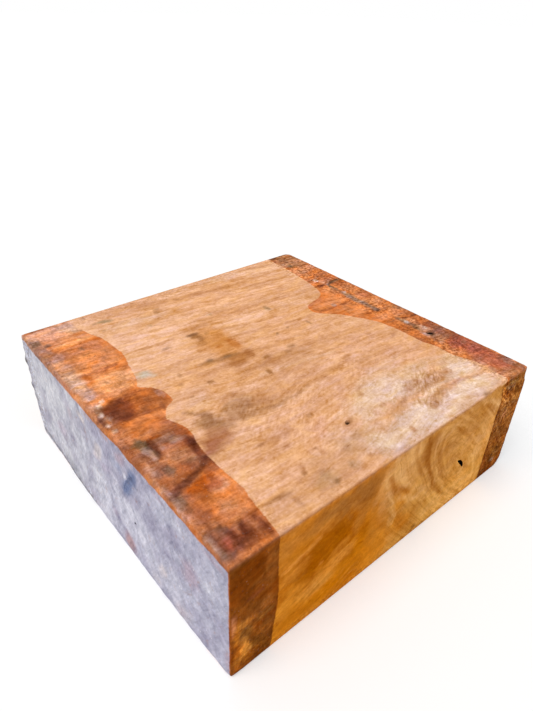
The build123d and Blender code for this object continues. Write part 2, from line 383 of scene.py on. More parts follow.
bareTopSpots = [
    (-52, -34.4, 5, 1.8, 22, "greyFigure", 60), (-46.4, -31.6, 4, 1.6, 24, "redFigure", 50),
    (40, -56.8, 5, 1.8, -8, "greyFigure", 40), (28, -52, 12, 5, "bloom", 25),
    (20.5, -60.6, 3.4, 2.2, "cream", 70), (30, -63, 3.2, 1.5, "curl", 60),
    (7, -66.4, 8.6, 4.4, "dustyCream", 40), (14, 58.2, 8, 1.6, -2, "lineBrown", 45),
    (-16, -55, 5, 5, "bloom", 25), (37, -62, 3, 1.6, "curl", 35), (-48, -34.6, 6, 1.6, 26, "redFigure", 45),
    (-44, -41, 6, 2, 10, "peach", 40), (-53, 16.6, 0.9, 2.2, "flake", 60),
    (-48.6, 17.2, 3, 1.2, -10, "chalk", 40),
    # golden blotch with a straight right edge, and the brown patch under it
    (-13.4, 18, 7.4, 12.6, 3, "gold", 80), (-9.4, 24, 2.8, 6, "gold", 60),
    (-8.4, 14, 2.4, 4.2, "deepGold", 85), (-18.4, 29.2, 3, 1.2, 2, "ink", 60),
    (-18, 27.4, 2.4, 1.6, "goldBrown", 75), (-17.4, 24.6, 1.6, 1.6, "goldBrown", 70),
    (-12.6, 27, 1.2, 0.9, "goldBrown", 60), (-18.6, 21.6, 2.2, 2.4, "goldBrown", 40),
    (-11, 20, 2, 1.6, "deepGold", 30), (-13, 3, 7.5, 4.4, 12, "umber", 85), (-14.5, 0, 4, 2.6, "umber", 75),
    (-7.6, 3.2, 1.9, 3.2, -6, "umber", 85), (-14.6, 6.6, 3.4, 1.6, -8, "goldBrown", 80),
    (-20, 7, 7, 1.6, -8, "goldBrown", 70), (-26, 8, 3.4, 1.6, "goldBrown", 60),
    (-16.4, 6.8, 2.2, 0.8, "mossDark", 50), (-23.6, 8.6, 1.4, 1.1, 20, "mossDark", 50),
    (-32, 6.2, 5, 1.1, "lineBrown", 55), (-14.6, 14.4, 1.7, 1.2, "deepGold", 70),
    (-15, 33, 1.6, 1.2, "lineBrown", 50), (-23, 17, 0.8, 1.3, "lineBrown", 60),
    # single spots
    (-4, -3, 1.9, 1.2, -30, "goldBrown", 90), (-3.6, -6.4, 3.2, 3, "umber", 60),
    (-10, -11.6, 1.1, 1.8, -20, "goldBrown", 90), (9.4, -2.8, 1.8, 1.3, "ink", 36),
    (5.6, -5.4, 1.5, 1.2, 20, "greyFigure", 60), (11.4, 8.4, 1.1, 0.6, 35, "ink", 60),
    (18.5, 9.5, 0.9, 0.7, 20, "ink", 40), (29, 7, 0.8, 1.8, 10, "ink", 50), (23, 29, 1.2, 2, 10, "ink", 50),
    (22.4, 29, 1.6, 2.2, "moss", 40), (-42.6, 62, 3.4, 1.2, -10, "moss", 85),
    (-47, 62.4, 1.4, 0.9, "ink", 35), (-48.4, 70, 0.8, 1.4, "ink", 45), (-46, 55, 1.4, 0.8, -25, "ink", 35),
    (-18.4, 58.6, 1.4, 0.9, "ink", 40), (-19.6, 55.8, 1.1, 1.1, "ink", 40),
    (-32.6, 26.6, 2.2, 0.9, "ink", 40), (-28.4, 47, 1, 0.7, "moss", 50),
    (-32, -3.6, 1.6, 1.1, -20, "goldBrown", 80), (-38.6, 7, 1, 1.7, -20, "bark", 55),
    (-41.5, 1.4, 0.9, 1.2, "bark", 50), (-42.6, -7.2, 1, 0.8, "bark", 60),
    (0, -18.6, 3, 0.8, -4, "lineBrown", 80), (-2, 40, 1.4, 0.8, "moss", 50),
    (-6, 61.6, 1.8, 0.8, -30, "bark", 50), (27.6, -14.4, 2, 0.7, "umber", 50),
    (35, -16.5, 1.4, 0.6, "umber", 50), (43, -16, 1.6, 0.7, 10, "umber", 50),
    (22, -22.4, 2.6, 0.8, 20, "umber", 50), (21, -24.4, 1.4, 0.6, -10, "umber", 40),
    (51, -23, 1.2, 1.2, "umber", 50), (43, -25.5, 1.2, 0.8, "umber", 35), (-16, -40.5, 1.4, 0.9, "bark", 50),
    (-39.4, -42, 1.6, 0.6, 5, "bark", 55), (-35, -44, 3, 0.9, 10, "umber", 60),
    (-32.6, -47.6, 1.6, 0.7, "umber", 50), (-27.6, -43, 2.4, 0.8, 15, "umber", 35),
    (-36.6, -60, 1, 0.9, "bark", 85), (-35.6, -58, 0.8, 1.6, -25, "umber", 60),
    (-48, -62.8, 3.4, 1, -6, "bark", 75), (-52, -62.4, 2.6, 0.8, "bark", 40),
    (-31.8, -64, 1.6, 2, "greyFigure", 55), (-31, -68.4, 1.2, 0.9, "ink", 60),
    (-46, -67, 0.9, 2.4, 15, "bark", 35), (-26.4, -54, 0.8, 0.8, "bark", 50),
    (-25.6, -56.4, 0.9, 1, "umber", 65), (-15, -67, 1.1, 0.8, "umber", 60),
    (6.4, -67.6, 1, 1.8, -30, "umber", 70), (-8.6, -51.6, 2, 1.3, 20, "bark", 55),
    (-6.4, -50.4, 1.6, 0.7, 35, "bark", 40), (-12, -58, 2.4, 1.2, 10, "bark", 40),
    (-18, -60, 2.4, 1.2, 20, "bark", 35), (-33, -66.5, 4, 3, "moss", 30), (-22, -67, 2, 2.4, "moss", 30),
    (-5, -71.4, 4, 0.8, "bark", 40), (-49.4, 15.4, 2.6, 2.2, "chalk", 80),
    (-46.6, 13.4, 1.6, 1.4, "chalk", 50), (-22.6, -66, 1.2, 1, "ink", 25),
    # grey figure with a reddish foot beside the left band, and a second brown patch
    (-45.4, -22.4, 4.6, 6, -8, "greyFigure", 90), (-41.4, -27, 3.4, 2.6, 30, "greyFigure", 60),
    (-47.6, -28, 3, 3.2, 20, "redFigure", 50), (-51.6, -32.2, 4.6, 2.4, 38, "redFigure", 90),
    (-53.6, -29, 1.6, 3.6, 10, "redFigure", 45), (-45.6, -30.4, 3.4, 1.4, 42, "redFigure", 50),
    (-35, -23, 4, 4.6, "greyFigure", 65), (-28.6, -21, 4.6, 4.4, -35, "greyFigure", 60),
    (-29, -22.8, 1.3, 2, -25, "bark", 70), (-24, -24, 4, 4, -30, "umber", 40),
    (-22, -19, 3, 2.4, "lineBrown", 50), (-31, -15.6, 5, 1.1, -12, "umber", 40),
    (-33, -28, 4, 1.4, -8, "greyFigure", 45), (-17, -16.6, 2, 0.7, -20, "lineBrown", 50),
    # brown curls over the knot
    (27, -51.4, 6, 1.9, 8, "curl", 60), (38, -52.6, 6, 2.6, -10, "curl", 60), (45, -54.4, 3, 2.2, "curl", 65),
    (30, -55.6, 6, 1.2, 4, "curl", 50), (28, -61, 7, 1.8, 12, "curl", 60), (24, -64, 4, 1.6, 18, "curl", 60),
    (34, -60.4, 3, 1.4, 20, "curl", 40), (33, -53.6, 10, 1.7, -8, "curl", 40),
    (27, -62.6, 7, 1.6, 16, "curl", 45), (24, -52, 1.5, 0.8, 30, "umber", 50),
    (30.6, -51, 1.5, 0.7, -20, "umber", 55), (34.6, -52.6, 1.2, 0.9, 20, "umber", 40),
    (40, -55, 2, 0.8, -20, "umber", 50), (44.6, -54, 1.2, 1, 30, "umber", 50),
    (47, -52.6, 0.9, 1.2, "umber", 45), (27, -60, 1.6, 0.7, 25, "umber", 50),
    (32, -62, 1.6, 0.7, 20, "umber", 50), (22.6, -65, 1.4, 0.8, 30, "umber", 45),
    (20.6, -60.4, 1, 1.6, "umber", 50), (58.6, -58.4, 1.4, 0.6, 30, "bark", 70),
    (12, -56.6, 5, 2, 8, "curl", 45), (8.4, -52.4, 1.6, 0.8, 20, "umber", 50),
    (17, -55.4, 2.6, 0.9, 20, "bark", 45), (-51.6, -31.5, 4.2, 2.7, 38, "redFigure", 55),
    (-18.4, 29, 2.6, 1.4, "ink", 35), (-17.4, 27, 2.2, 1.4, "goldBrown", 50), (3, -53.4, 0.9, 1, "umber", 35),
    (-1, -57, 3, 1.2, 10, "lineBrown", 50), (9, -40.8, 2.4, 0.9, 25, "umber", 45),
    (7, -43.6, 1.2, 1.2, 30, "umber", 45), (17.6, -47.4, 2.2, 0.7, 15, "umber", 35),
    (45, -72, 2, 0.9, "ink", 50),
]
# painted lines: half width, tone, strength in per cent, then the points, along and up by turns
bareTopLines = [
    (1.7, "lineBrown", 75, -24, 64.6, -10, 62.8, 0, 60.8, 20, 58.6, 32, 56.8),
    (0.8, "umber", 50, 10, 59.6, 22, 58.2), (1.1, "lineBrown", 50, 28, 52.6, 52, 49.6),
    (0.8, "lineBrown", 40, 8, 55.6, 24, 53), (1.0, "lineBrown", 70, -2, 38.4, 10, 35.8, 25, 34, 36, 32.4),
    (1.0, "lineBrown", 45, 30, 33, 40, 31.6, 54, 31), (0.9, "lineBrown", 55, -4, 25, 12, 21.8, 20, 20.6),
    (0.8, "lineBrown", 75, -7, 18.8, 5, 16, 14, 14.4, 24, 12.8, 36, 12.4),
    (0.7, "lineBrown", 55, 0, 10.4, 12, 8.2, 22, 5.6), (0.9, "lineBrown", 60, -6, 4, 6, 2.2, 14, 1.4),
    (1.0, "paleRose", 70, -14, -11.6, -4, -12.6, 8, -14.4, 20, -16.4),
    (0.7, "lineBrown", 40, -14, -13.6, -4, -15, 6, -16.8),
    (0.7, "lineBrown", 30, -24, -12, -14, -14.6, -8, -18),
    (0.9, "bark", 60, -34, -25, -27, -27.6, -21, -29.6, -12, -28.8, -4, -27.6),
    (0.8, "umber", 40, -4, -27.4, 6, -26.2, 15, -25.4),
    (0.9, "paleRose", 40, -21, -30.4, -10, -30.2, 4, -28.4),
    (0.9, "greyFigure", 75, -49, -13, -47, -15.6, -43, -19),
    (0.8, "umber", 35, -36, -16, -32, -14.2, -26, -13.8),
    (1.0, "paleRose", 60, -10, -47.6, 0, -43, 10, -39.4, 24, -35.8, 40, -34.6),
    (0.9, "cream", 70, 24, -60, 36, -57.8, 50, -57.6), (0.8, "redFigure", 60, 38, -60, 45, -61, 52, -63.4),
    (0.9, "cream", 80, 22, -70, 34, -67.4, 48, -67, 57, -69.4),
    (0.8, "rose", 50, 26, -48.4, 38, -48, 50, -50), (0.8, "lineBrown", 30, -26, 34, -10, 33, 4, 31),
    (0.8, "lineBrown", 45, -48, 34, -36, 31.6, -26, 31),
    (0.7, "lineBrown", 40, -46, 24, -32, 22.4, -24, 21.4),
    (0.7, "lineBrown", 35, -40, 60, -28, 58.6, -14, 58), (0.8, "lineBrown", 30, 14, -30, 30, -29, 44, -31),
    (0.9, "lineBrown", 40, 12, -4.6, 30, -7, 52, -10), (0.8, "lineBrown", 35, 20, 4, 34, 2, 46, 2),
    (0.9, "lineBrown", 30, -50, -46, -38, -49, -24, -47.6), (0.9, "lineBrown", 30, 38, 69, 56, 67),
    (0.9, "lineBrown", 40, 30, 60.4, 46, 59, 58, 58.4),
    (0.7, "lineBrown", 35, -24, 50, -6, 48.6, 16, 44.8, 34, 43),
    (0.7, "lineBrown", 30, 10, 42.6, 28, 40, 48, 38.4), (0.7, "lineBrown", 30, -30, 42.6, -10, 42, 6, 41),
    (0.7, "lineBrown", 30, 30, 24.6, 42, 23),
]
soakedTop = [
    # left band, from the far arris to the near one
    (-64, 66, 11, 7, "clay", 95), (-73, 66, 2, 5, "residue", 60), (-74.6, 62, 0.9, 3, "darkMaroon", 60),
    (-72.4, 58, 1.8, 5, "greyMauve", 60), (-68.4, 71.8, 3.4, 0.9, "maroon", 50),
    (-62, 57.6, 9, 1.6, -4, "salmon", 90), (-60, 53.8, 9, 2, "orange", 95),
    (-59.6, 47.6, 10, 3.2, "salmon", 70), (-60, 47, 10, 3, "brick", 35), (-59.6, 46.8, 1, 1.8, 8, "dirt", 60),
    (-55, 45, 3, 1.6, "brick", 50), (-59, 40.6, 9, 3, "rust", 85), (-60, 34, 10, 5.4, "midOrange", 95),
    (-56, 36, 6, 0.8, -4, "brick", 35), (-59, 28.4, 7, 1, -4, "brick", 55),
    (-58, 28.4, 1.4, 1.1, 20, "chestnut", 60), (-54.6, 28.4, 1.4, 1.2, "chestnut", 65),
    (-59, 18.6, 9, 7, "orange", 95), (-56, 22, 4, 2.4, "brightOrange", 50), (-63, 13, 7, 2, "midOrange", 40),
    (-71.4, 22, 3, 12, "residue", 90), (-71, 30.6, 2.4, 3, "greyMauve", 45), (-73.8, 38, 1.4, 6, "brick", 50),
    (-73, 47.6, 3, 1, "maroon", 50), (-71, 52, 1, 1.4, "maroon", 50), (-71.6, 44, 1, 1.6, "greyMauve", 60),
    (-72.6, 63, 1.6, 1.2, "residue", 60), (-70.8, 12, 2.6, 1.4, 8, "rust", 95),
    (-68.9, 10.2, 0.9, 1, "flake", 60), (-71.8, 6.4, 1.9, 3, "greyMauve", 85),
    (-74, 0, 1.4, 3.6, "darkMaroon", 90), (-71.2, 0.4, 0.9, 1.7, 8, "flake", 80),
    (-72.8, -7, 0.9, 1.1, "flake", 60), (-70, -2.4, 1.6, 1, "residue", 50), (-58, 2, 11, 7, "russet", 95),
    (-66, 2, 5.4, 6.6, "maroon", 85), (-66.4, 6.6, 2.6, 2, "darkMaroon", 30),
    (-67.6, -3, 4, 1.9, -6, "darkMaroon", 60), (-60, -4.6, 6, 0.9, -8, "chestnut", 70),
    (-59.6, 7.8, 5, 1.2, "chestnut", 50), (-50.2, 2, 1.2, 2.6, "residue", 40),
    (-53.6, -5.4, 1.3, 1.4, -20, "maroon", 50), (-66, -10, 8, 3.8, "burntOrange", 95),
    (-70.4, -11, 2.4, 2.2, "rust", 70), (-60, -13, 4, 3, 30, "burntOrange", 90),
    (-66, -8.4, 3, 1, "russet", 50), (-74, -12, 1.2, 6, "salmon", 60), (-58.6, -17, 3.4, 2, "umberRed", 80),
    # mottled part of the left band
    (-64, -27, 11, 11.5, "umberRed", 90), (-64, -17.6, 3, 2, "russet", 80),
    (-68.2, -20, 1.3, 4.6, 8, "mossDark", 80), (-67, -25.4, 1.2, 2.4, -10, "darkMaroon", 45),
    (-70.6, -18, 1.4, 2.4, 20, "mossDark", 40), (-69.6, -26.4, 0.8, 2.6, "residue", 60),
    (-59, -22.4, 3, 1.8, "greyMauve", 60), (-63.6, -26, 2.4, 2.4, "brick", 55),
    (-72.6, -25, 1.6, 2.4, "brick", 40), (-55.8, -27, 1.1, 4.6, -8, "darkMaroon", 55),
    (-60.6, -33.4, 2.6, 1.4, "greyMauve", 50), (-67.6, -33.6, 1.2, 2, "mossDark", 50),
    (-66, -31.6, 1.4, 2.4, "rust", 45), (-57, -35, 1.3, 1.8, "darkMaroon", 60),
    (-71.8, -33, 1.2, 2.2, "greyMauve", 50), (-63, -21.4, 2, 1.4, "chestnut", 60),
    (-73.8, -19, 1.2, 2.6, "chestnut", 60), (-74.6, -30, 0.8, 6, "salmon", 50),
    (-60.4, -19, 2.4, 0.9, "residue", 35), (-70.4, -36.4, 2, 1.2, "brick", 40),
    (-62.6, -36, 2.2, 0.9, "maroon", 40), (-61.8, -29.4, 1.6, 0.8, 20, "maroon", 50),
    (-64.6, -23.4, 1, 1.4, "residue", 35), (-58.4, -30.4, 1, 2, "salmon", 40),
    # deep orange, then the streaky maroon end by the near arris
    (-63, -45, 6, 3.6, "deepOrange", 95), (-65.4, -46, 2, 2.4, "deepOrange", 80),
    (-57.6, -45.6, 1.8, 3.6, "rust", 60), (-58, -48.8, 1.6, 1, 20, "residue", 40),
    (-72, -45, 2.2, 4, "umberRed", 80), (-72.6, -47.4, 1.2, 3, "mossDark", 70),
    (-70.4, -52.6, 2.6, 3.4, "umberRed", 75), (-62, -54, 6.6, 5, "rust", 75),
    (-63, -52, 6, 3, "burntOrange", 40), (-73, -58, 2, 4, "umberRed", 70),
    (-69.4, -57.6, 1, 1.2, "residue", 50), (-61, -59.4, 4, 1.4, "rust", 60),
    (-74.4, -50, 0.9, 5, "residue", 40), (-66, -66.6, 9.5, 5.8, "umberRed", 95),
    (-66.6, -67, 5.4, 4.4, "maroon", 70), (-70.6, -66, 1, 3.6, "darkMaroon", 60),
    (-67.6, -65.6, 0.8, 4, "darkMaroon", 80), (-64.4, -66.6, 0.9, 4, "darkMaroon", 80),
    (-66, -64.6, 0.7, 2.6, "brick", 45), (-61.6, -66, 0.8, 4, "chestnut", 60),
    (-74, -66.4, 1.1, 3.6, "greyMauve", 85), (-58.6, -68, 0.8, 3, "maroon", 60),
    (-72, -60.4, 1.4, 1, "residue", 50), (-69, -60.6, 1, 1.2, "dust", 50),
    (-71.5, 41, 3.4, 14, "residue", 50), (-56, 66.5, 4.5, 6, "paleRose", 60),
    (-72, -36, 3.4, 38, "greyMauve", 30), (-56, -24, 2.6, 17, "maroon", 30),
    (-70.4, -50, 4, 5.6, "umberRed", 55), (-57.4, -40, 2.6, 3, "maroon", 35), (-71, -2, 3, 8, "maroon", 25),
    (-71, -64, 4, 7, "greyMauve", 40), (-71, -66, 4.6, 6.4, "maroon", 50),
    (-71.6, -39, 3.2, 17, "umberRed", 40), (-57.4, -39.4, 2.6, 4, "maroon", 50),
    (-57.4, -14.4, 3, 3.2, "umberRed", 50), (-71, 31, 3.4, 12, "paleRose", 40),
    (-57.6, 20.4, 5.4, 5, "orange", 50), (-68.8, -20.6, 1.5, 5.4, 10, "mossDark", 55),
    (-73.4, -26, 1, 4.6, "salmon", 50), (-56.6, -28, 1.3, 6, -6, "darkMaroon", 40),
    (-69, 4, 3, 4, "darkMaroon", 40), (-62.6, -66, 0.8, 4.4, "darkMaroon", 50),
    (-59.6, -66.4, 0.8, 4, "maroon", 50), (-72, -48, 1.4, 4.4, "mossDark", 45),
    (-64, -29, 5, 1.6, 10, "salmon", 35), (-63, -33.6, 5, 1.2, -14, "maroon", 45),
    # right band, from the far arris to the near one
    (67, 65, 9, 10, "tawny", 95), (62, 66.4, 1.6, 3.4, "salmon", 50), (70, 60.6, 3, 2, "salmon", 30),
    (62, 71.4, 2, 1.2, "darkMaroon", 60), (64.6, 71.6, 6, 1.2, "bark", 60),
    (63.6, 58.6, 1.2, 2.4, -20, "mossDark", 60), (66, 64, 1.2, 2.4, -20, "dust", 60),
    (69, 55, 3.4, 1.2, "chestnut", 50), (66, 50, 9, 4, "salmon", 90), (63.4, 47, 1.3, 5, "dust", 40),
    (70.6, 45, 3.6, 2.4, "russet", 60), (62.6, 43.6, 2.4, 1.4, "tawny", 60), (68, 38, 7, 3.6, "rust", 50),
    (59, 38, 2, 4, "brick", 40), (70, 36.4, 3, 0.8, "maroon", 40), (62.4, 36.6, 1.2, 1.2, "flake", 90),
    (65.4, 39.8, 1.9, 1, 25, "greyMauve", 75), (63, 33, 1.2, 1.6, "residue", 40),
    (60, 30.8, 2.4, 1, "maroon", 75), (68.6, 30.6, 5.6, 0.8, 10, "dirt", 75),
    (69.6, 27.6, 3.6, 2, "umberRed", 60), (63.4, 26, 1.3, 3.4, "dust", 90), (63.2, 16, 1.5, 3.4, "dust", 95),
    (63.4, 8, 1.5, 4.6, "dust", 85), (63.2, 13, 1, 1.4, "greyMauve", 60), (63, 6, 1.1, 1.6, "dirt", 50),
    (63.4, 0, 1.5, 4, "dust", 85), (63, -3.2, 1.6, 1.6, "greyMauve", 70), (62.2, -4.4, 0.8, 0.8, "ink", 50),
    (62.6, -9.6, 1, 1, "greyMauve", 50), (64.6, -17.6, 1.1, 3.8, "dust", 90),
    (65, -20.4, 0.9, 1.4, "greyMauve", 60), (57, 22.6, 5, 3.4, "midOrange", 60),
    (45, 19.6, 7, 1.8, 10, "brick", 45), (49, 15, 11, 3.4, "rust", 85), (54, 13, 4, 0.8, "midOrange", 50),
    (49.8, 12, 1.5, 1.3, "dust", 85), (54.6, 10, 1.6, 0.9, "chestnut", 60), (69, 11.4, 4, 2.4, "brick", 70),
    (68.6, 10, 0.9, 0.8, "ink", 50), (50, 7, 5, 2, "rust", 80), (58, 8, 3, 1.6, "burntOrange", 50),
    (56, 2.4, 6, 4, "rust", 90), (56, 3, 4, 2, "midOrange", 40), (70.4, 4.4, 3.6, 3.4, "midOrange", 80),
    (54, -5, 3, 1.6, -20, "burntOrange", 60), (57, -3, 1.4, 0.8, "chestnut", 60), (70, 20, 4, 6, "rust", 70),
    (70, -4, 4, 5, "rust", 60), (67.4, -4.4, 1, 1.6, -20, "chestnut", 50), (61, -10, 4, 2.6, "midOrange", 50),
    (70, -12, 4, 3, "rust", 70), (59, -20, 3, 6, "burntOrange", 80), (70, -20.6, 4, 3, "burntOrange", 80),
    (67, -23.4, 3, 1, 20, "chestnut", 50), (59, -31, 3, 5.4, "burntOrange", 60),
    (58, -37.6, 1.8, 2.6, "russet", 70), (66, -29.6, 3, 5.6, -10, "tawny", 80),
    (66.2, -27.4, 1.5, 1.7, "mossDark", 50), (67.2, -29.2, 0.9, 0.8, "flake", 70),
    (65, -32.2, 1.9, 1.7, "dirt", 85), (66.4, -34.8, 1.6, 1.2, "mossDark", 50),
    (62.4, -31, 1, 2.6, "residue", 50), (70.8, -31, 3.6, 5.6, "umberRed", 85),
    (69.6, -40, 5, 4.6, "umberRed", 85), (70, -42, 4, 3, "maroon", 40), (63, -39.4, 1.4, 1.6, "residue", 55),
    (65, -44, 2.4, 2.6, "deepOrange", 55), (65, -42.4, 1.2, 0.9, "maroon", 50),
    (60, -47.6, 2.6, 5.4, "rust", 85), (64, -47, 1.8, 2, "russet", 60), (70.6, -50, 4, 7, "umberRed", 70),
    (71.6, -46.4, 1, 1.6, "greyMauve", 40), (66, -53, 2.6, 4, "brick", 60),
    (62.4, -57, 2.6, 2.4, "salmon", 80), (66, -62.4, 3.4, 3.4, "brick", 70), (65, -60, 1.4, 1, "rust", 40),
    (72, -62, 2.4, 5.4, "umberRed", 85), (70, -59, 0.8, 3, 10, "dirt", 50), (70, -66, 0.7, 2.6, "dirt", 50),
    (65.4, -69.4, 5, 3.4, "tawny", 80), (61.2, -66, 1.4, 4, "salmon", 70),
    (71.4, -69.6, 3.4, 3, -20, "chestnut", 75), (66.4, -67.6, 2, 1.2, "umberRed", 50),
    (71, -43, 4.4, 12, "maroon", 35), (71, 32, 4.4, 12, "umberRed", 40), (71, 12, 4, 6, "chestnut", 30),
    (71, -18, 4.4, 12, "umberRed", 40), (57, -38, 2, 6, "umberRed", 40), (71, -36, 4.4, 12, "maroon", 40),
    (63.2, 9, 1.9, 12.6, "dust", 50), (62.8, -2.6, 2.2, 2.6, "dirt", 40),
    (64.8, -22, 1.6, 7.6, 4, "dust", 55), (65, -32.4, 2.2, 2, "dirt", 50),
    (57.8, -31.4, 1.8, 5, "russet", 45), (64, -46, 3.4, 3.4, "brick", 45), (67.6, -57, 3, 9, "redBrown", 50),
    (66, 5, 2.4, 8, "orange", 30), (49, 16.6, 9, 1.6, 4, "midOrange", 40), (67.6, -19, 1.6, 3, "orange", 40),
    (69, -42, 5, 14, "redBrown", 40), (63.6, 57.4, 1.6, 2.4, -20, "mossDark", 60),
    (60.6, 67.6, 1.1, 2, -20, "chestnut", 70), (65, 64.4, 1.4, 2.4, -25, "chestnut", 40),
    (62, 72, 4, 1.3, "darkMaroon", 50), (70, 72.4, 4, 1.5, "bark", 60), (62.3, 36.7, 1.5, 1.4, "flake", 80),
    (64, 33.8, 1.5, 1.7, "residue", 60), (59.6, 31, 2.8, 1.3, "maroon", 50),
    (70, 47, 3.4, 2.4, "burntOrange", 50), (-69, -20.6, 1.8, 6.2, 8, "dirt", 60),
    (-55.8, -29, 1.4, 7, -4, "darkMaroon", 60), (-66, -40.4, 6, 1.5, 14, "darkMaroon", 55),
    (-62.6, -20.4, 4.4, 1.6, "greyMauve", 50), (-63.6, -28.6, 4, 3.2, "tawny", 50),
    (-72.6, -30, 1.6, 3, "residue", 50), (-66.6, -66.8, 7, 4.8, "maroon", 50),
    (-70.4, -66, 0.8, 4, "darkMaroon", 50), (-67.4, -65.6, 0.7, 4.4, "darkMaroon", 50),
    (-64.4, -66.4, 0.8, 4.4, "darkMaroon", 50), (-61.4, -66, 0.7, 4, "darkMaroon", 40),
    (-70.6, -54, 3.4, 6, "maroon", 40), (-62, -49, 5, 3, "burntOrange", 30),
    (-62, -9.4, 6, 3.4, "midOrange", 35), (68, 33.8, 5, 2, "russet", 45), (66, 14, 1.2, 5, "russet", 35),
    (62.8, 12, 1.6, 8, "dirt", 30), (66, -37, 4.6, 3, "greyMauve", 65), (64, -25.6, 1.5, 2.6, "mossDark", 65),
    (66.8, -27.8, 2, 2.8, -20, "residue", 75), (67.2, -27.6, 1, 1.3, "flake", 55),
    (65, -32.6, 2, 1.6, "dirt", 85), (62.8, -31.2, 0.9, 2.4, "residue", 60),
    (67.6, -31.4, 1.2, 2, "residue", 50), (66.4, -35.2, 1.6, 0.9, "residue", 45),
    (71.4, -33, 3.2, 6, "greyMauve", 45), (63.6, -17.4, 1.4, 4, "dirt", 40),
    (56.6, -34.6, 1.5, 4.4, "umberRed", 45), (66, -44.4, 4, 2.6, "crimson", 50),
    (70.6, -48, 4, 8, "crimson", 40), (67.6, -58, 6, 11, "crimson", 45),
    (72.4, -67, 2.6, 5.4, "greyMauve", 50), (61, -62.4, 1.8, 3.4, "paleRose", 40),
    (63.6, -68, 3, 3, "salmon", 30), (70.4, -45, 1.6, 1.4, "greyMauve", 45),
    # the left band again: the dark stroke with a pale one beside it, the pink middle and the dull outer rim
    (-66.6, -21.4, 1.5, 4.2, -8, "darkMaroon", 70), (-69.4, -23, 1, 5, 6, "residue", 65),
    (-70.8, -17.6, 1.6, 1.6, "mossDark", 50), (-56.4, -18, 2, 4.4, "umberRed", 55),
    (-58.2, -22.8, 2.6, 1.8, "residue", 45), (-63.4, -29.6, 3.6, 3.4, "salmon", 60),
    (-59, -33.6, 2.4, 2, "tawny", 50), (-68.4, -34, 1.6, 3, "dirt", 45),
    (-59.8, -47.4, 3.4, 3, "residue", 40), (-66.6, -50.6, 3, 5.4, "burntOrange", 50),
    (-62, -56, 3, 2, "orange", 40), (-61.6, -66, 2, 4.4, "brick", 45), (-69.4, -61.2, 1.8, 2, "dirt", 55),
    (-63, -70.4, 5.4, 1, "umberRed", 60), (-74.4, -22, 1.5, 11, "chestnut", 40),
    (-74.2, -43, 1.8, 9, "residue", 50), (-74.2, -64, 1.8, 9, "greyMauve", 60),
    (-72, -68, 2.4, 3, "dirt", 35), (-74, 4, 1.4, 8, "greyMauve", 40), (-70.6, -66.4, 1, 2.6, "crimson", 50),
    (-72.6, 61.4, 2, 2.6, 20, "dirt", 60), (-69.4, 57.4, 1.8, 1.4, "dirt", 60),
    (-66, 54.6, 1.8, 0.9, "dust", 40), (-74.4, 50, 1.2, 24, "greyMauve", 55),
    (-74.4, 22, 1.2, 12, "tawny", 50), (-63, -46, 4.6, 3.4, "deepOrange", 60),
    (-69.6, -19.6, 1.4, 2, "mossDark", 50), (-56.6, -21, 1.8, 3, "maroon", 45),
    (-62, -69, 6, 1.6, "umberRed", 50), (-70.8, -64.4, 2.6, 4, "maroon", 40), (-72.4, -46, 2, 4, "dirt", 40),
    (-65, -58, 3, 2, "brick", 30), (-61, -14.6, 5, 1.6, "midOrange", 40),
    (63.6, 27.4, 0.9, 1.6, 10, "ink", 60), (63, 22, 0.8, 1.4, "ink", 50), (64.2, 19, 0.7, 1, "flake", 60),
    (62.8, 15.4, 0.9, 1.2, "residue", 60), (63.8, 11.4, 0.9, 1.6, "ink", 55),
    (62.8, 7, 0.8, 1.2, "residue", 60), (63.6, 3.6, 0.9, 1.4, "ink", 55), (62.6, -0.6, 1, 1.2, "residue", 55),
    (63, -3.8, 1.2, 1, "ink", 60), (64, -14.6, 0.8, 1.6, "ink", 45), (64.8, -19, 0.8, 1.4, "flake", 50),
    (65, -23, 0.9, 1.2, "ink", 50), (68.4, 30.8, 3, 0.7, 10, "ink", 50), (72, 31.6, 2, 0.8, 10, "ink", 50),
    (61, 31, 1.4, 0.8, "darkMaroon", 60), (50, 12, 1.4, 1.2, "residue", 60),
    (64.4, 44, 1, 2, -20, "chestnut", 40), (72.6, -9, 1.8, 1.6, "dirt", 50),
    (-63, -11, 6, 3.4, "burntOrange", 40), (-59.6, 18.4, 7, 5.4, "orange", 40),
    (-64.6, -67, 6, 3.6, "maroon", 30), (-64.6, -45, 3, 3.4, "deepOrange", 45),
    (-72.4, 3, 0.9, 1.4, 20, "flake", 60), (-73, -3.4, 0.8, 1.2, "flake", 50),
    (-71, 8.6, 1.2, 0.8, "flake", 50), (-73.4, 9, 1, 1.6, "residue", 50), (62.8, 8, 1.7, 11, "greyMauve", 55),
    (68, 38, 7, 5, "brick", 40), (-73.4, -55, 1.4, 5, "salmon", 50), (-70, -66, 0.9, 2.4, "crimson", 60),
    (-74, -64, 1, 2.8, "residue", 40), (70, -32, 5, 9, "chestnut", 25), (-71, -57, 4, 7, "umberRed", 30),
    (-56.5, -13, 3, 4, "umberRed", 45), (-70, 39, 4, 5, "midOrange", 30),
    (-61.2, -66, 0.9, 3.6, "salmon", 35), (-65.6, -63.4, 0.8, 2, "salmon", 30),
]
